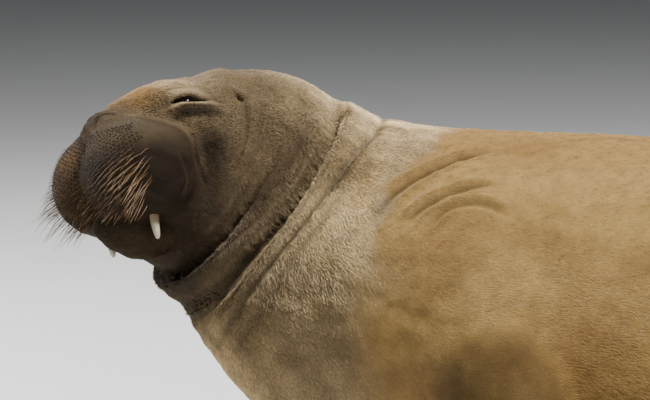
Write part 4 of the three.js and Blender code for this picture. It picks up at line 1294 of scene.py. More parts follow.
@dataclass
class Skin:
    """Her hide: one closed skin in place of all the solids of flesh."""

    body: Body
    creases: Creases
    markings: Markings
    origin: Array
    voxel: float = 13.0
    coat_depth: float = 4.5
    bare_depth: float = 0.6
    # The length of edge that each stretch of skin needs.
    torso_edge: float = 15.0
    shoulder_edge: float = 8.0
    neck_edge: float = 8.5
    limb_edge: float = 8.5
    face_edge: float = 4.2
    crease_edge: float = 2.9
    eye_edge: float = 1.9
    ear_edge: float = 2.2
    nose_edge: float = 1.9

    def block_out(self) -> bpy.types.Object:
        """Joins copies of her solids with plain blocks for the pads, and wraps them in even faces.

        Returns:
            The rough skin, in metres.
        """
        blocks = []
        for name in [*FLESH, *EYES]:
            if name in PADS:
                continue
            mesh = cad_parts[name].data.copy()
            block = bpy.data.objects.new(f"block_{name}", mesh)
            bpy.context.scene.collection.objects.link(block)
            blocks.append(block)
        head = self.body.head
        turn = Matrix(head.axes.T.tolist()).to_4x4()
        for side in Side:
            for lobe in head.lobes[side is Side.RIGHT]:
                at = head.to_design(np.array(lobe.at) * (1, side.value, 1))
                bpy.ops.mesh.primitive_uv_sphere_add(segments=24, ring_count=16, radius=1)
                block = bpy.context.active_object
                size = Matrix.Diagonal((*(h * MM for h in lobe.half), 1))
                block.data.transform(Matrix.Translation(to_scene(at, self.origin)) @ turn @ size)
                blocks.append(block)
        only(*blocks)
        bpy.ops.object.join()
        skin = bpy.context.active_object
        skin.name = skin.data.name = "hide"
        bpy.ops.object.mode_set(mode="EDIT")
        bpy.ops.mesh.select_all(action="SELECT")
        bpy.ops.mesh.remove_doubles(threshold=1e-5)
        bpy.ops.object.mode_set(mode="OBJECT")
        wrap = skin.modifiers.new("wrap", "REMESH")
        wrap.mode = "VOXEL"
        wrap.voxel_size = self.voxel * MM
        bpy.ops.object.modifier_apply(modifier=wrap.name)
        return skin

    def write(self, skin: bpy.types.Object, p: Array) -> None:
        """Puts the points at places of the design frame."""
        skin.data.vertices.foreach_set("co", to_scene(p, self.origin).astype(np.float32).ravel())
        skin.data.update()

    def read(self, skin: bpy.types.Object) -> Array:
        """The points in the design frame."""
        return points_of(skin) / MM + self.origin

    def depth(self, p: Array) -> Array:
        """How deep under the outline the skin lies: the coat's depth, and less where it is bare."""
        bare = self.markings.at(p, np.zeros(len(p)))["bare"]
        return self.coat_depth + (self.bare_depth - self.coat_depth) * bare

    def wanted(self, p: Array) -> Array:
        """The length of edge that each place needs.

        Args:
            p: Places on the skin.

        Returns:
            One length for each place.
        """
        distance, _, _ = self.body.trunk.locate(p)
        head = self.body.head
        q = head.to_head(p)
        near_head = np.linalg.norm(q - (30, 0, -60), axis=1)
        size = np.full(len(p), self.torso_edge)
        size = np.where((distance < 300) & (p[:, 1] < 60), self.shoulder_edge, size)
        size = np.where(distance < 190, self.neck_edge, size)
        limbs = self.body.parts(p)
        size = np.where(np.minimum(limbs["hand"], limbs["foot"]) < 6, self.limb_edge, size)
        size = np.where(near_head < 215, self.face_edge, size)
        apart = self.creases.close_by(p)
        size = np.where(apart < 3.2, np.minimum(size, self.crease_edge), size)
        across = np.hypot(q[:, 0] - head.eye[0], q[:, 2] - head.eye[1])
        size = np.where((across < 46) & (np.abs(q[:, 1]) > 60) & (near_head < 230), self.eye_edge, size)
        ear = np.hypot(q[:, 0] + 66, q[:, 2] - 2)
        size = np.where((ear < 20) & (np.abs(q[:, 1]) > 90) & (near_head < 230), self.ear_edge, size)
        nose = np.linalg.norm(q - (128, 0, -4), axis=1)
        return np.where(nose < 52, self.nose_edge, size)

    def refine(self, skin: bpy.types.Object) -> None:
        """Divides the faces whose edges are longer than their place needs.

        Args:
            skin: The skin.
        """
        mesh = skin.data
        count = len(mesh.polygons)
        centres = np.empty(count * 3, np.float32)
        mesh.polygons.foreach_get("center", centres)
        areas = np.empty(count, np.float32)
        mesh.polygons.foreach_get("area", areas)
        size = np.sqrt(areas) / MM
        coarse = size > 1.45 * self.wanted(centres.reshape(-1, 3).astype(float) / MM + self.origin)
        only(skin)
        bpy.ops.object.mode_set(mode="EDIT")
        bpy.ops.mesh.select_mode(type="FACE")
        bpy.ops.mesh.select_all(action="DESELECT")
        bpy.ops.object.mode_set(mode="OBJECT")
        mesh.polygons.foreach_set("select", coarse)
        bpy.ops.object.mode_set(mode="EDIT")
        bpy.ops.mesh.subdivide(number_cuts=1)
        bpy.ops.object.mode_set(mode="OBJECT")

    def relax(self, skin: bpy.types.Object, repeat: int) -> None:
        """Evens out the points.

        Args:
            skin: The skin.
            repeat: How often.
        """
        only(skin)
        bpy.ops.object.mode_set(mode="EDIT")
        bpy.ops.mesh.select_all(action="SELECT")
        bpy.ops.mesh.vertices_smooth(factor=0.5, repeat=repeat)
        bpy.ops.object.mode_set(mode="OBJECT")

    def soften(self, skin: bpy.types.Object, share: Array, repeat: int = 5) -> None:
        """Rounds the skin beside the creases, so that they have soft banks.

        Args:
            skin: The skin.
            share: How much of the rounding each point gets, from 0 to 1.
            repeat: How often.
        """
        group = skin.vertex_groups.new(name="soft")
        steps = np.round(share * 10).astype(int)
        for step in range(1, 11):
            group.add(np.where(steps == step)[0].tolist(), step / 10, "REPLACE")
        rounding = skin.modifiers.new("rounding", "SMOOTH")
        rounding.factor = 0.5
        rounding.iterations = repeat
        rounding.vertex_group = group.name
        only(skin)
        bpy.ops.object.modifier_apply(modifier=rounding.name)

    def features(self, p: Array) -> tuple[Array, Array]:
        """The forms of the face and the small wrinkles, over the plain masses.

        Args:
            p: Places on the skin.

        Returns:
            The move out along the normal, and how far into an opening each place is.
        """
        head = self.body.head
        q = head.to_head(p)
        x, y, z = q[:, 0], q[:, 1], q[:, 2]
        ex, over, cheek = head.eye_place(q)
        gap = 5.8 * np.sqrt(np.clip(1 - (ex / 29) ** 2, 0.02, 1))
        slit = np.exp(-((over / gap) ** 4)) * np.exp(-((ex / 29) ** 8)) * cheek
        upper = np.exp(-((ex / 32) ** 2) - ((over - 13) / 6.5) ** 2) * cheek
        lower = np.exp(-((ex / 31) ** 2) - ((over + 8.5) / 4.5) ** 2) * cheek
        sack = np.exp(-((ex / 32) ** 2) - ((over + 24) / 9) ** 2) * cheek
        bag = np.exp(-((ex / 34) ** 2) - ((over + 15) / 2.2) ** 2) * cheek
        brow = np.exp(-((ex / 34) ** 2) - ((over - 21) / 2.6) ** 2) * cheek
        top = np.exp(-((ex / 32) ** 2) - ((over - 30) / 2.8) ** 2) * cheek
        corner = np.exp(-(((np.abs(ex + 2) - 38) / 3.0) ** 2) - (over / 24) ** 2) * cheek
        move = 6.5 * upper + 4.5 * lower + 3.0 * sack - 2.6 * bag - 3.0 * brow - 1.6 * top - 1.8 * corner
        ripple = np.cos(over * 1.25 + 0.8 * np.cos(ex / 7))
        ripple *= np.exp(-((ex / 32) ** 2) - ((over + 24) / 11) ** 2)
        move += 1.7 * ripple * cheek - 20 * slit
        ear = np.linalg.norm((q - (-66, 0, 2))[:, [0, 2]] / (4.6, 9.5), axis=1)
        pit = np.exp(-(ear**4)) * cheek * (np.abs(y) > 90)
        move += -11 * pit + 2 * np.exp(-((ear - 1.9) ** 2)) * cheek * (np.abs(y) > 90)
        front = (np.linalg.norm(q, axis=1) < 230) * 1.0
        nx, ny = x - 128, np.abs(y) - 23
        turned = (ny - nx) * 0.707
        across = (ny + nx) * 0.707
        nostril = np.exp(-((turned / 17) ** 4) - ((across - 0.02 * turned**2) / 2.8) ** 4)
        nostril *= ramp(-22, -8, z) * front
        snout = front * bump(x, 112, 32) * bump(y, 0, 52) * ramp(-34, -14, z)
        folds = np.exp(-((np.sin(0.36 * (across - 0.02 * turned**2)) / 0.35) ** 2))
        move += -8 * nostril - 1.1 * snout * folds * (1 - nostril)
        fine = Waves(13, 21).at(p)
        skin_waves = Waves(38, 22).at(p)
        distance, _, _ = self.body.trunk.locate(p)
        neck = ramp(10, 60, distance) * (1 - ramp(230, 330, distance))
        rings = np.sin(distance / 7.0 + 2.2 * Waves(150, 23).at(p))
        ditch = np.exp(-((rings / 0.32) ** 2)) * np.clip(0.5 + 0.6 * Waves(80, 24).at(p), 0, 1)
        move += 0.45 * fine + 0.8 * skin_waves - 0.8 * ditch * neck
        # Painted shade: the slit, the ear pit, the nostrils, the grooves and the wrinkle troughs are painted
        # dark through this measure.
        opening = np.maximum.reduce([slit, pit, nostril, 0.8 * bag, 0.6 * brow, 0.5 * corner,
                                     -0.6 * ripple * cheek, 0.15 * ditch * neck, 0.4 * snout * folds])
        return move, np.clip(opening, 0, 1)

    def build(self, finish: bpy.types.Material) -> bpy.types.Object:
        """Models the skin and dresses it.

        Args:
            finish: The material of the skin.

        Returns:
            The finished skin.
        """
        skin = self.block_out()
        p = self.read(skin)
        p, _ = self.body.draw_onto(p, self.depth(p), steps=4)
        self.write(skin, p)
        self.relax(skin, 4)
        p = self.read(skin)
        p, _ = self.body.draw_onto(p, self.depth(p))
        self.write(skin, p)
        for _ in range(3):
            self.refine(skin)
            p = self.read(skin)
            p, _ = self.body.draw_onto(p, self.depth(p), steps=2, most=6)
            self.write(skin, p)
        self.relax(skin, 2)
        p = self.read(skin)
        p, normals = self.body.draw_onto(p, self.depth(p), steps=2, most=6)
        pressed, crease = self.creases.press(p)
        formed, opening = self.features(p)
        # The creases and openings are painted dark as shade through the crease marking.
        marks = self.markings.at(p, np.maximum(crease, opening))
        p = p + normals * (pressed + formed)[:, None]
        p[:, 2] = np.maximum(p[:, 2], self.body.floor)
        self.write(skin, p)
        beside = ramp(4.5, 1.5, self.creases.close_by(p))
        self.soften(skin, beside * (1 - 0.5 * ramp(40, 90, -pressed)))
        for name, values in marks.items():
            set_attribute(skin, name, values)
        skin.data.shade_smooth()
        skin.data.materials.clear()
        skin.data.materials.append(finish)
        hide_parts(*FLESH)
        return skin


class Region(Enum):
    """The pieces of the coat."""

    FACE = "coat_face"
    NECK_LEFT = "coat_neck_left"
    NECK_RIGHT = "coat_neck_right"
    SHOULDER_LEFT = "coat_shoulder_left"
    SHOULDER_RIGHT = "coat_shoulder_right"
    BACK = "coat_back"
    FLANKS = "coat_flanks"
    REAR = "coat_rear"


@dataclass
class Coat:
    """Her short fur: thin tufts that lie back along her body."""

    body: Body
    markings: Markings
    origin: Array
    tufts: int = 360000
    most: int = 49000
    seed: int = 11
    uv_margin: ClassVar[float] = 0.01
    uv_span: ClassVar[float] = 0.975
    uv_patch: ClassVar[float] = 0.003

    def lie(self, p: Array) -> Array:
        """The way the hair lies: back over the head, down the trunk and out to the digits.

        Args:
            p: Places on the skin.

        Returns:
            One direction for each place.
        """
        distance, _, _ = self.body.trunk.locate(p)
        trunk = self.body.trunk.read(self.body.trunk.tangent, distance)
        down = np.zeros_like(p)
        down[:, 2] = -0.35
        q = self.body.head.to_head(p)
        back = -self.body.head.axes[0][None] * np.ones((len(p), 1)) - 0.5 * self.body.head.axes[2]
        near = (1 - ramp(150, 290, np.linalg.norm(q, axis=1)))[:, None]
        flow = unit((trunk + down) * (1 - near) + back * near)
        parts = self.body.parts(p)
        for name, paw in (("hand", self.body.hand), ("foot", self.body.foot)):
            out = math.radians(paw.out)
            ahead = np.stack([np.full(len(p), math.cos(out)), np.sign(p[:, 1]) * math.sin(out),
                              np.zeros(len(p))], axis=1)
            close = ramp(16, 0, parts[name])[:, None]
            flow = unit(flow * (1 - close) + ahead * close)
        return flow

    def region(self, p: Array) -> Array:
        """Which region of the coat each place belongs to.

        Args:
            p: Places on the skin.

        Returns:
            The region's number in Region for each place.
        """
        distance, _, _ = self.body.trunk.locate(p)
        left = p[:, 1] < 0
        order = list(Region)
        number = np.full(len(p), order.index(Region.REAR))
        for region, inside in (
            (Region.FLANKS, distance < 1650),
            (Region.BACK, (distance < 1650) & (p[:, 2] > 400)),
            (Region.SHOULDER_RIGHT, (distance < 800) & ~left),
            (Region.SHOULDER_LEFT, (distance < 800) & left),
            (Region.NECK_RIGHT, (distance < 270) & ~left),
            (Region.NECK_LEFT, (distance < 270) & left),
            (Region.FACE, distance < 45),
        ):
            number[inside] = order.index(region)
        return number

    def shares(self, number: Array) -> list[tuple[str, Array]]:
        """Parts the tufts by region, and a region with too many tufts into even shares.

        Args:
            number: The region of each tuft.

        Returns:
            A name and the tufts for each piece of the coat.
        """
        found = []
        for index, region in enumerate(Region):
            chosen = np.where(number == index)[0]
            parts = np.array_split(chosen, math.ceil(len(chosen) / self.most)) if len(chosen) else []
            found += [(f"{region.value}_{n + 1}", part) for n, part in enumerate(parts)]
        return found

    def sizes(self, p: Array, marks: dict[str, Array]) -> tuple[Array, Array]:
        """How long and how close the tufts are.

        Args:
            p: Roots on the skin.
            marks: The markings there.

        Returns:
            The length of a tuft in millimetres and how dense the coat is from 0 to 1.
        """
        distance, _, _ = self.body.trunk.locate(p)
        length = 4.0 + 3.2 * ramp(0, 150, distance) - 1.4 * ramp(260, 420, distance)
        length = length + 2.2 * ramp(400, 900, distance)
        length = length * (1 - 0.45 * marks["bare"]) * (1 - 0.65 * marks["crease"])
        close = 1.0 - 0.72 * ramp(230, 700, distance)
        close = close * np.where((p[:, 1] > 60) & (distance > 40), 0.62, 1.0)
        close = close * (1 - 0.97 * marks["bare"]) * (1 - 0.97 * marks["crease"])
        close = close * np.where(p[:, 2] < 12, 0.05, 1)
        return length, np.clip(close, 0, 1)

    def roots(self, skin: bpy.types.Object, count: int) -> tuple[Array, Array, dict[str, Array]]:
        """Draws roots over the skin.

        Args:
            skin: The finished skin.
            count: How many to draw.

        Returns:
            The places in the design frame, the normals, and the markings there.
        """
        mesh = skin.data
        mesh.calc_loop_triangles()
        corners = np.empty(len(mesh.loop_triangles) * 3, np.int32)
        mesh.loop_triangles.foreach_get("vertices", corners)
        corners = corners.reshape(-1, 3)
        p = points_of(skin) / MM + self.origin
        normals = np.empty(len(p) * 3, np.float32)
        mesh.vertices.foreach_get("normal", normals)
        normals = normals.reshape(-1, 3)
        marks = {}
        for name in self.markings.names:
            values = np.empty(len(p), np.float32)
            mesh.attributes[name].data.foreach_get("value", values)
            marks[name] = values
        _, close = self.sizes(p, marks)
        a, b, c = (p[corners[:, n]] for n in range(3))
        weight = np.linalg.norm(np.cross(b - a, c - a), axis=1) * close[corners].mean(1)
        draw = np.random.default_rng(self.seed)
        reached = np.cumsum(weight) / weight.sum()
        picked = np.searchsorted(reached, (np.arange(count) + draw.uniform(size=count)) / count)
        picked = np.minimum(picked, len(corners) - 1)
        share = draw.dirichlet((1, 1, 1), size=count)
        chosen = corners[picked]
        place = (share[:, :, None] * p[chosen]).sum(1)
        normal = unit((share[:, :, None] * normals[chosen]).sum(1))
        return place, normal, {name: (share * values[chosen]).sum(1) for name, values in marks.items()}

    def build(self, skin: bpy.types.Object, finish: bpy.types.Material) -> list[bpy.types.Object]:
        """Plants the tufts and parts them into pieces.

        Args:
            skin: The finished skin.
            finish: The material of the fur.

        Returns:
            The pieces of the coat.
        """
        count = self.tufts
        p, normal, marks = self.roots(skin, count)
        length, _ = self.sizes(p, marks)
        draw = np.random.default_rng(self.seed + 1)
        flow = self.lie(p)
        swirl = Waves(70, 31).at(p)
        clump = Waves(16, 32).at(p)
        flow = unit(flow - (flow * normal).sum(1, keepdims=True) * normal)
        beside = np.cross(normal, flow)
        turn = 0.14 * swirl + 0.1 * clump + draw.normal(0, 0.13, count)
        ahead = flow * np.cos(turn)[:, None] + beside * np.sin(turn)[:, None]
        beside = np.cross(normal, ahead)
        length = (length * draw.uniform(0.7, 1.35, count))[:, None]
        smooth = marks["tan"][:, None]
        wide = (0.15 + 0.05 * smooth) * length * draw.uniform(0.8, 1.3, (count, 1)) + 0.15
        rise = length * np.sin(np.radians(draw.uniform(4, 24, (count, 1)))) * (1 - 0.85 * smooth)
        sunk = normal * (0.45 - 0.27 * smooth)
        points = np.stack([p + beside * wide / 2 - sunk, p - beside * wide / 2 - sunk,
                           p - ahead * 0.12 * length + normal * (0.25 - 0.13 * smooth) * wide,
                           p + ahead * length + normal * rise], axis=1)
        points[:, :, 2] = np.maximum(points[:, :, 2], self.body.floor)
        pattern = np.array([(0, 3, 1), (0, 2, 3), (2, 1, 3), (0, 1, 2)])
        distance, angle, _ = self.body.trunk.locate(p)
        tone = 0.5 + draw.uniform(-0.5, 0.5, count) * (1 - 0.55 * marks["tan"])
        number = self.region(p)
        pieces = []
        for name, chosen in self.shares(number):
            faces = pattern[None] + (np.arange(len(chosen)) * 4)[:, None, None]
            piece = mesh_object(name, to_scene(points[chosen].reshape(-1, 3), self.origin),
                                faces.reshape(-1, 3), smooth=False)
            for marking, values in marks.items():
                set_attribute(piece, marking, np.repeat(values[chosen], 4))
            set_attribute(piece, "tone", np.repeat(tone[chosen], 4))
            set_attribute(piece, "tip", np.tile((0.0, 0.0, 0.1, 1.0), len(chosen)))
            self.unwrap(piece, distance[chosen], angle[chosen], faces.reshape(-1, 3))
            piece.data.materials.append(finish)
            pieces.append(piece)
        return pieces

    def unwrap(self, piece: bpy.types.Object, distance: Array, angle: Array, faces: Array) -> None:
        """Lays each tuft out as a small patch at its root's place on the unrolled skin.

        Args:
            piece: The piece of the coat.
            distance: How far down the spine each tuft's root is.
            angle: The angle round the spine of each root.
            faces: The triangles of the piece.
        """
        low, high = distance.min(), distance.max() + 1e-6
        u = self.uv_margin + self.uv_span * (distance - low) / (high - low)
        v = self.uv_margin + self.uv_span * ((angle + 90) % 360) / 360
        corner = np.array([(0.1, 0.0), (0.1, 1.0), (0.0, 0.5), (1.0, 0.5)]) * self.uv_patch
        spread = np.stack([u, v], axis=1)[:, None] + corner[None]
        uv = piece.data.uv_layers.new(name="OFBake")
        uv.data.foreach_set("uv", spread.reshape(-1, 2)[faces.ravel()].astype(np.float32).ravel())


@dataclass
class Whiskers:
    """The whiskers of both pads, each rooted in a dark pit, and the collars of the pits."""

    body: Body
    skin: bpy.types.Object
    origin: Array
    rows: int = 50
    columns: int = 37
    longest: float = 78
    shortest: float = 3
    thick: float = 1.2
    knots: int = 7
    jitter: float = 0.17
    cast_from: float = 12
    cast_reach: float = 30
    seed: int = 7

    def seat(self, p: Array, normal: Array) -> Array:
        """Moves places near the skin onto its finished surface.

        Args:
            p: The places.
            normal: The skin's normals there.

        Returns:
            The places on the surface, or as they were where nothing is met.
        """
        seated = p.copy()
        above = to_scene(p + normal * self.cast_from, self.origin)
        reach = self.cast_reach * MM
        for n, (start, down) in enumerate(zip(above, -normal)):
            hit, place, _, _ = self.skin.ray_cast(Vector(start), Vector(down), distance=reach)
            if hit:
                seated[n] = np.array(place) / MM + self.origin
        return seated

    def roots(self, side: int, draw: np.random.Generator) -> tuple[Array, Array, Array, Array]:
        """Places the roots in staggered rows over a pad.

        Args:
            side: 1 for her left and -1 for her right.
            draw: The source of the random draws.

        Returns:
            The roots, the normals, and how low and how far out on the pad each is.
        """
        head = self.body.head
        grid = np.meshgrid(np.arange(self.rows), np.arange(self.columns), indexing="ij")
        row, column = (n.ravel() for n in grid)
        v = row + 0.5 + draw.uniform(-self.jitter, self.jitter, row.size)
        v = 1.9 * v / self.rows - 0.95
        u = column + 0.25 + 0.5 * (row % 2) + draw.uniform(-self.jitter, self.jitter, row.size)
        u = 1.9 * u / self.columns - 0.95
        low = 0.5 + 0.88 * v + 0.47 * u
        out = 0.5 + 0.88 * u - 0.47 * v
        inside = (low > 0) & (low < 1) & (out > 0) & (out < draw.uniform(0.93, 1.06, out.size))
        low, out = low[inside], out[inside]
        turn = np.radians(-62 + 134 * out)
        tilt = np.radians(60 - 124 * low)
        ray = np.stack([np.cos(turn) * np.cos(tilt), np.sin(turn) * np.cos(tilt) * side,
                        np.sin(tilt)], axis=1)
        middle = np.array(head.lobes[side < 0][0].at) * (1, side, 1) - (8, 0, 0)
        reach = np.full(low.size, 60.0)
        for _ in range(12):
            reach -= head.pad(middle + ray * reach[:, None], side)
        q = middle + ray * reach[:, None]
        p = head.to_design(q)
        parts = self.body.parts(p)
        over = 0.45 * (parts["fillet"] - 8)
        other_pad = parts["right" if side > 0 else "left"]
        others = np.minimum.reduce([parts["torso"] + over, parts["jaw"], other_pad])
        free = (others > 2.0) & (draw.uniform(size=len(q)) > 0.35 * ramp(0.55, 0.9, low))
        p, normal = self.body.draw_onto(p[free], 0.6)
        return self.seat(p, normal), normal, low[free], out[free]

    def paths(self, side: int) -> tuple[Array, Array, Array, Array]:
        """Grows the whiskers of one side.

        Args:
            side: 1 for her left and -1 for her right.

        Returns:
            Their paths, radii, a tone and the breadth of the pit for each.
        """
        draw = np.random.default_rng(self.seed + side)
        p, normal, low, out = self.roots(side, draw)
        axes = self.body.head.axes
        outer = 0.95 * out**2.8 * ramp(0.24, 0.6, low) * (1 - 0.45 * ramp(0.65, 1, low))
        cleft, lower = ramp(0.34, 0.1, out), ramp(0.35, 0.6, low)
        grow = np.maximum(0.4 * low**2.3, outer)
        grow = np.clip(np.maximum(grow, 0.4 * cleft * lower), 0, 1)
        length = (self.shortest + (self.longest - self.shortest) * grow) * draw.uniform(0.65, 1.25, len(p))
        inward = draw.normal(-0.24 - 0.14 * side, 0.12, len(p))
        sweep = 0.85 * axes[0] - 0.5 * axes[2] + inward[:, None] * axes[1]
        stray = draw.normal(0, 0.13, (len(p), 3))
        bend = draw.uniform(0, 0.9, len(p))
        path = [p - normal * 2.0, p]
        for step in range(1, self.knots):
            t = step / (self.knots - 1)
            curl = (0.25 + bend[:, None]) * t**1.5
            heading = unit(normal * (1.0 - 0.9 * t) + (sweep + stray) * (0.4 + 1.0 * t) - axes[2] * curl)
            place = path[-1] + heading * (length / (self.knots - 1))[:, None]
            value, gradient = self.body.slope(place)
            room = 1.4 + 2.0 * t
            place = place + unit(gradient) * np.maximum(room - value, 0)[:, None]
            place[:, 2] = np.maximum(place[:, 2], self.body.floor)
            path.append(place)
        paths = np.stack(path, axis=1)
        root = self.thick * (0.55 + 0.45 * grow) * draw.uniform(0.85, 1.15, len(p)) / 2
        shape = np.concatenate([[1.0, 1.0], np.linspace(0.95, 0.45, self.knots - 2)])
        tone = np.clip(draw.uniform(0, 0.7, len(p)) + 0.8 * cleft * lower, 0, 1)
        return paths, root[:, None] * shape[None], tone, 0.68 + 0.46 * out

    def build(self, side: Side, finish: bpy.types.Material,
              pit: bpy.types.Material) -> list[bpy.types.Object]:
        """Makes the whiskers and the dark collars of their pits on one side.

        Args:
            side: The side of the muzzle.
            finish: The material of the whiskers.
            pit: The material of the collars.

        Returns:
            The whiskers and the collars.
        """
        paths, radii, tone, broad = self.paths(side.value)
        points, faces, along = tubes(paths, radii, 5)
        name = side.name.lower()
        quills = mesh_object(f"whiskers_{name}", to_scene(points, self.origin), faces)
        each = len(points) // len(paths)
        reach = np.linalg.norm(np.diff(paths, axis=1), axis=2).sum(1)
        set_attribute(quills, "tip", along * np.repeat(ramp(2, 42, reach), each))
        set_attribute(quills, "tone", np.repeat(tone, each))
        quills.data.materials.append(finish)
        root = paths[:, 1]
        out = unit(paths[:, 1] - paths[:, 0])
        rise = np.array([-1.5, 0.0, 0.42, 0.3, -0.2])
        collar = root[:, None] + out[:, None] * rise[None, :, None]
        width = np.array([2.4, 2.25, 1.7, 1.0])[None] * broad[:, None]
        points, faces, along = tubes(collar, width, 8)
        collars = mesh_object(f"whisker_pits_{name}", to_scene(points, self.origin), faces)
        set_attribute(collars, "tip", along)
        collars.data.materials.append(pit)
        return [quills, collars]


@dataclass
class Eye:
    """One eyeball, as round as the CAD's and finer, set a little forward of it and higher."""

    head: Head
    side: Side
    finish: bpy.types.Material
    forward: float = 4
    lift: float = 2.5

    def build(self) -> bpy.types.Object:
        """Makes the eyeball behind the lids' slit.

        Returns:
            The eyeball.
        """
        name = f"eye_{self.side.name.lower()}"
        low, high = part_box(name)
        shift = Vector((self.head.axes[0] * self.forward + self.head.axes[2] * self.lift) * MM)
        bpy.ops.mesh.primitive_uv_sphere_add(segments=40, ring_count=20, radius=1)
        ball = bpy.context.active_object
        ball.name = ball.data.name = f"eyeball_{self.side.name.lower()}"
        size = Matrix.Diagonal((*((high - low) / 2), 1))
        ball.data.transform(Matrix.Translation((low + high) / 2 + shift) @ size)
        ball.data.shade_smooth()
        ball.data.materials.append(self.finish)
        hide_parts(name)
        return ball


@dataclass
class Tusk:
    """One short tusk, gently bowed and worn round at its tip."""

    body: Body
    origin: Array
    side: Side
    finish: bpy.types.Material
    root: tuple[float, float, float] = (82, 60, -130)
    tip: tuple[float, float, float] = (91, 60, -215)
    thick: float = 19
    bow: float = 5
    rows: int = 26
    sides: int = 28

    def build(self) -> bpy.types.Object:
        """Makes the tusk from gum to tip, a little behind the solid's tip.

        Returns:
            The tusk.
        """
        head = self.body.head
        side = self.side.value
        t = np.linspace(0, 1, self.rows)
        start, end = (np.array(a, float) * (1, side, 1) for a in (self.root, self.tip))
        q = start + (end - start) * np.minimum(1.02 * t, 1)[:, None]
        q[:, 0] += self.bow * 4 * t * (1 - t)
        radius = self.thick / 2 * np.sqrt(1 - t**6) * (1 - 0.3 * t) - 0.1
        points, faces, along = tubes(head.to_design(q)[None], radius[None, :-1], self.sides)
        tusk = mesh_object(f"ivory_{self.side.name.lower()}", to_scene(points, self.origin), faces)
        set_attribute(tusk, "tip", along)
        tusk.data.materials.append(self.finish)
        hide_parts(f"tusk_{self.side.name.lower()}")
        return tusk


@dataclass
class Claws:
    """The small claws that lie on the digits of a hand or foot."""

    body: Body
    origin: Array
    finish: bpy.types.Material
    length: float = 18
    wide: float = 8
    low: float = 9
    back: float = 26
    rows: int = 9
    sides: int = 10

    def build(self, name: str, paw: Paw, digits: tuple, side: Side) -> bpy.types.Object:
        """Makes the claws of one limb.

        Args:
            name: The piece's name.
            paw: The hand or foot they lie on.
            digits: The angle and length of each digit that has a claw.
            side: The side of her body.

        Returns:
            The claws as one piece.
        """
        paths = []
        t = np.linspace(0, 1, self.rows)
        for angle, length in digits:
            c, s = math.cos(math.radians(angle)), math.sin(math.radians(angle))
            r = length - self.back + self.length * t
            paths.append(np.stack([c * r, s * r, self.low + 4.5 * np.sin(math.pi * t * 0.8)], axis=1))
        radius = self.wide / 2 * np.sqrt(1 - t[:-1] ** 2 * 0.9)
        points, faces, along = tubes(np.array(paths), np.tile(radius, (len(paths), 1)), self.sides)
        points = paw.to_design(points)
        if side is Side.RIGHT:
            points = points * (1, -1, 1)
            faces = faces[:, ::-1]
        claws = mesh_object(name, to_scene(points, self.origin), faces)
        set_attribute(claws, "tip", along)
        claws.data.materials.append(self.finish)
        return claws


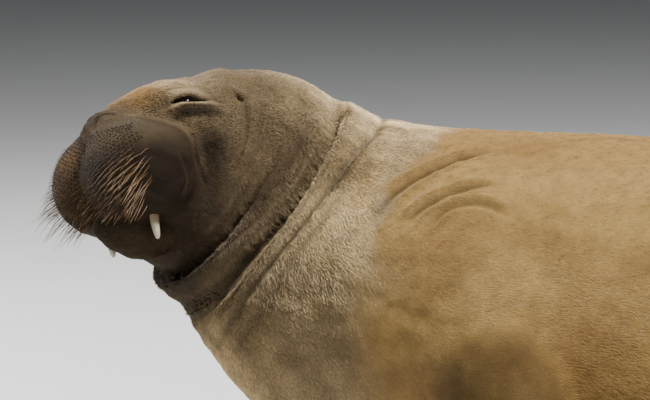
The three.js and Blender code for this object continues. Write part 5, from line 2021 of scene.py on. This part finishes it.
@dataclass
class Studio:
    """A plain pale floor, soft light, and the camera where the photographer stood."""

    origin: Array
    target: tuple[float, float, float] = (462, -60, 471.5)
    distance: float = 7.0
    elevation: float = 5.0
    view_width: float = 1.0725

    def camera(self) -> None:
        """Sets up the camera at the photograph's angle and framing."""
        data = bpy.data.cameras.new("camera")
        data.sensor_width = 36
        data.lens = data.sensor_width * self.distance / self.view_width
        data.clip_end = 100
        eye = bpy.data.objects.new("camera", data)
        bpy.context.scene.collection.objects.link(eye)
        rise = math.radians(self.elevation)
        back = Vector((0, -math.cos(rise), math.sin(rise)))
        eye.location = Vector(to_scene(np.array(self.target, float), self.origin)) + back * self.distance
        eye.rotation_euler = (math.radians(90) - rise, 0, 0)
        bpy.context.scene.camera = eye

    def floor(self, finish: bpy.types.Material) -> None:
        """Lays the floor."""
        bpy.ops.mesh.primitive_plane_add(size=60, location=(0, 0, 0))
        floor = bpy.context.active_object
        floor.name = "floor"
        floor.data.materials.append(finish)

    def lamp(self, name: str, place: tuple, target: tuple, size: float, power: float) -> None:
        """Hangs a square soft lamp.

        Args:
            name: Its name.
            place: Where it hangs, in metres.
            target: The place it faces.
            size: The length of its side in metres.
            power: Its power in watts.
        """
        data = bpy.data.lights.new(name, "AREA")
        data.size = size
        data.energy = power
        lamp = bpy.data.objects.new(name, data)
        bpy.context.scene.collection.objects.link(lamp)
        lamp.location = place
        lamp.rotation_euler = (Vector(target) - Vector(place)).to_track_quat("-Z", "Y").to_euler()

    def light(self) -> None:
        """Lights her from above and her left, with a weaker lamp on her far whiskers and one behind her."""
        world = bpy.data.worlds.new("studio")
        world.use_nodes = True
        world.node_tree.nodes["Background"].inputs["Color"].default_value = (0.80, 0.84, 0.90, 1)
        world.node_tree.nodes["Background"].inputs["Strength"].default_value = 0.1
        bpy.context.scene.world = world
        self.lamp("key", (3.2, -3.7, 8.15), (-0.8, -0.1, 0.4), 1.6, 2350)
        self.lamp("rim", (-4.4, 1.4, 2.6), (-1.2, 0, 0.5), 1.2, 330)
        self.lamp("back", (-0.6, 4.6, 4.6), (-0.4, 0, 0.4), 2.0, 120)


def design_origin(head: Head) -> Array:
    """Finds the scene's origin from the tip of a tusk's solid.

    Args:
        head: The head, which says where the tip is in the design frame.

    Returns:
        The origin in the design frame.
    """
    co = points_of(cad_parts["tusk_left"]) / MM
    tip = head.to_design(np.array(head.tusk_tip))
    return np.array([tip[0] - co[co[:, 2].argmin(), 0], 0.0, 0.0])


def report(*pieces: bpy.types.Object) -> None:
    """Rides pieces on her one body and logs their sizes."""
    for piece in pieces:
        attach(piece, "root")
        log.info("%s: %d faces", piece.name, len(piece.data.polygons))


def main() -> None:
    """Builds the scene."""
    logging.basicConfig(level=logging.INFO, format="%(message)s")
    body = Body()
    origin = design_origin(body.head)
    log.info("the scene's origin lies %.2f mm behind the design's", origin[0])
    studio = Studio(origin)
    studio.camera()
    colours = HideColours().group()
    wrinkles = wrinkle_group()
    markings = Markings(body)
    creases = Creases(body)
    skin = Skin(body, creases, markings, origin).build(HideFinish(colours, wrinkles).build())
    report(skin)
    log.info("hide: %d triangles", sum(len(f.vertices) - 2 for f in skin.data.polygons))
    report(*Coat(body, markings, origin).build(skin, CoatFinish(colours).build()))
    whiskers = Whiskers(body, skin, origin)
    quill, pit = WhiskerFinish().build(), PitFinish().build()
    ivory, eye = IvoryFinish().build(), EyeFinish().build()
    claws = Claws(body, origin, ClawFinish().build())
    for side in Side:
        report(*whiskers.build(side, quill, pit))
        report(Eye(body.head, side, eye).build(), Tusk(body, origin, side, ivory).build())
        name = side.name.lower()
        report(claws.build(f"claws_hand_{name}", body.hand, body.hand.digits, side))
        report(claws.build(f"claws_foot_{name}", body.foot, body.foot.digits[1:4], side))
    studio.floor(FloorFinish().build())
    studio.light()


if __name__ == "__main__":
    main()
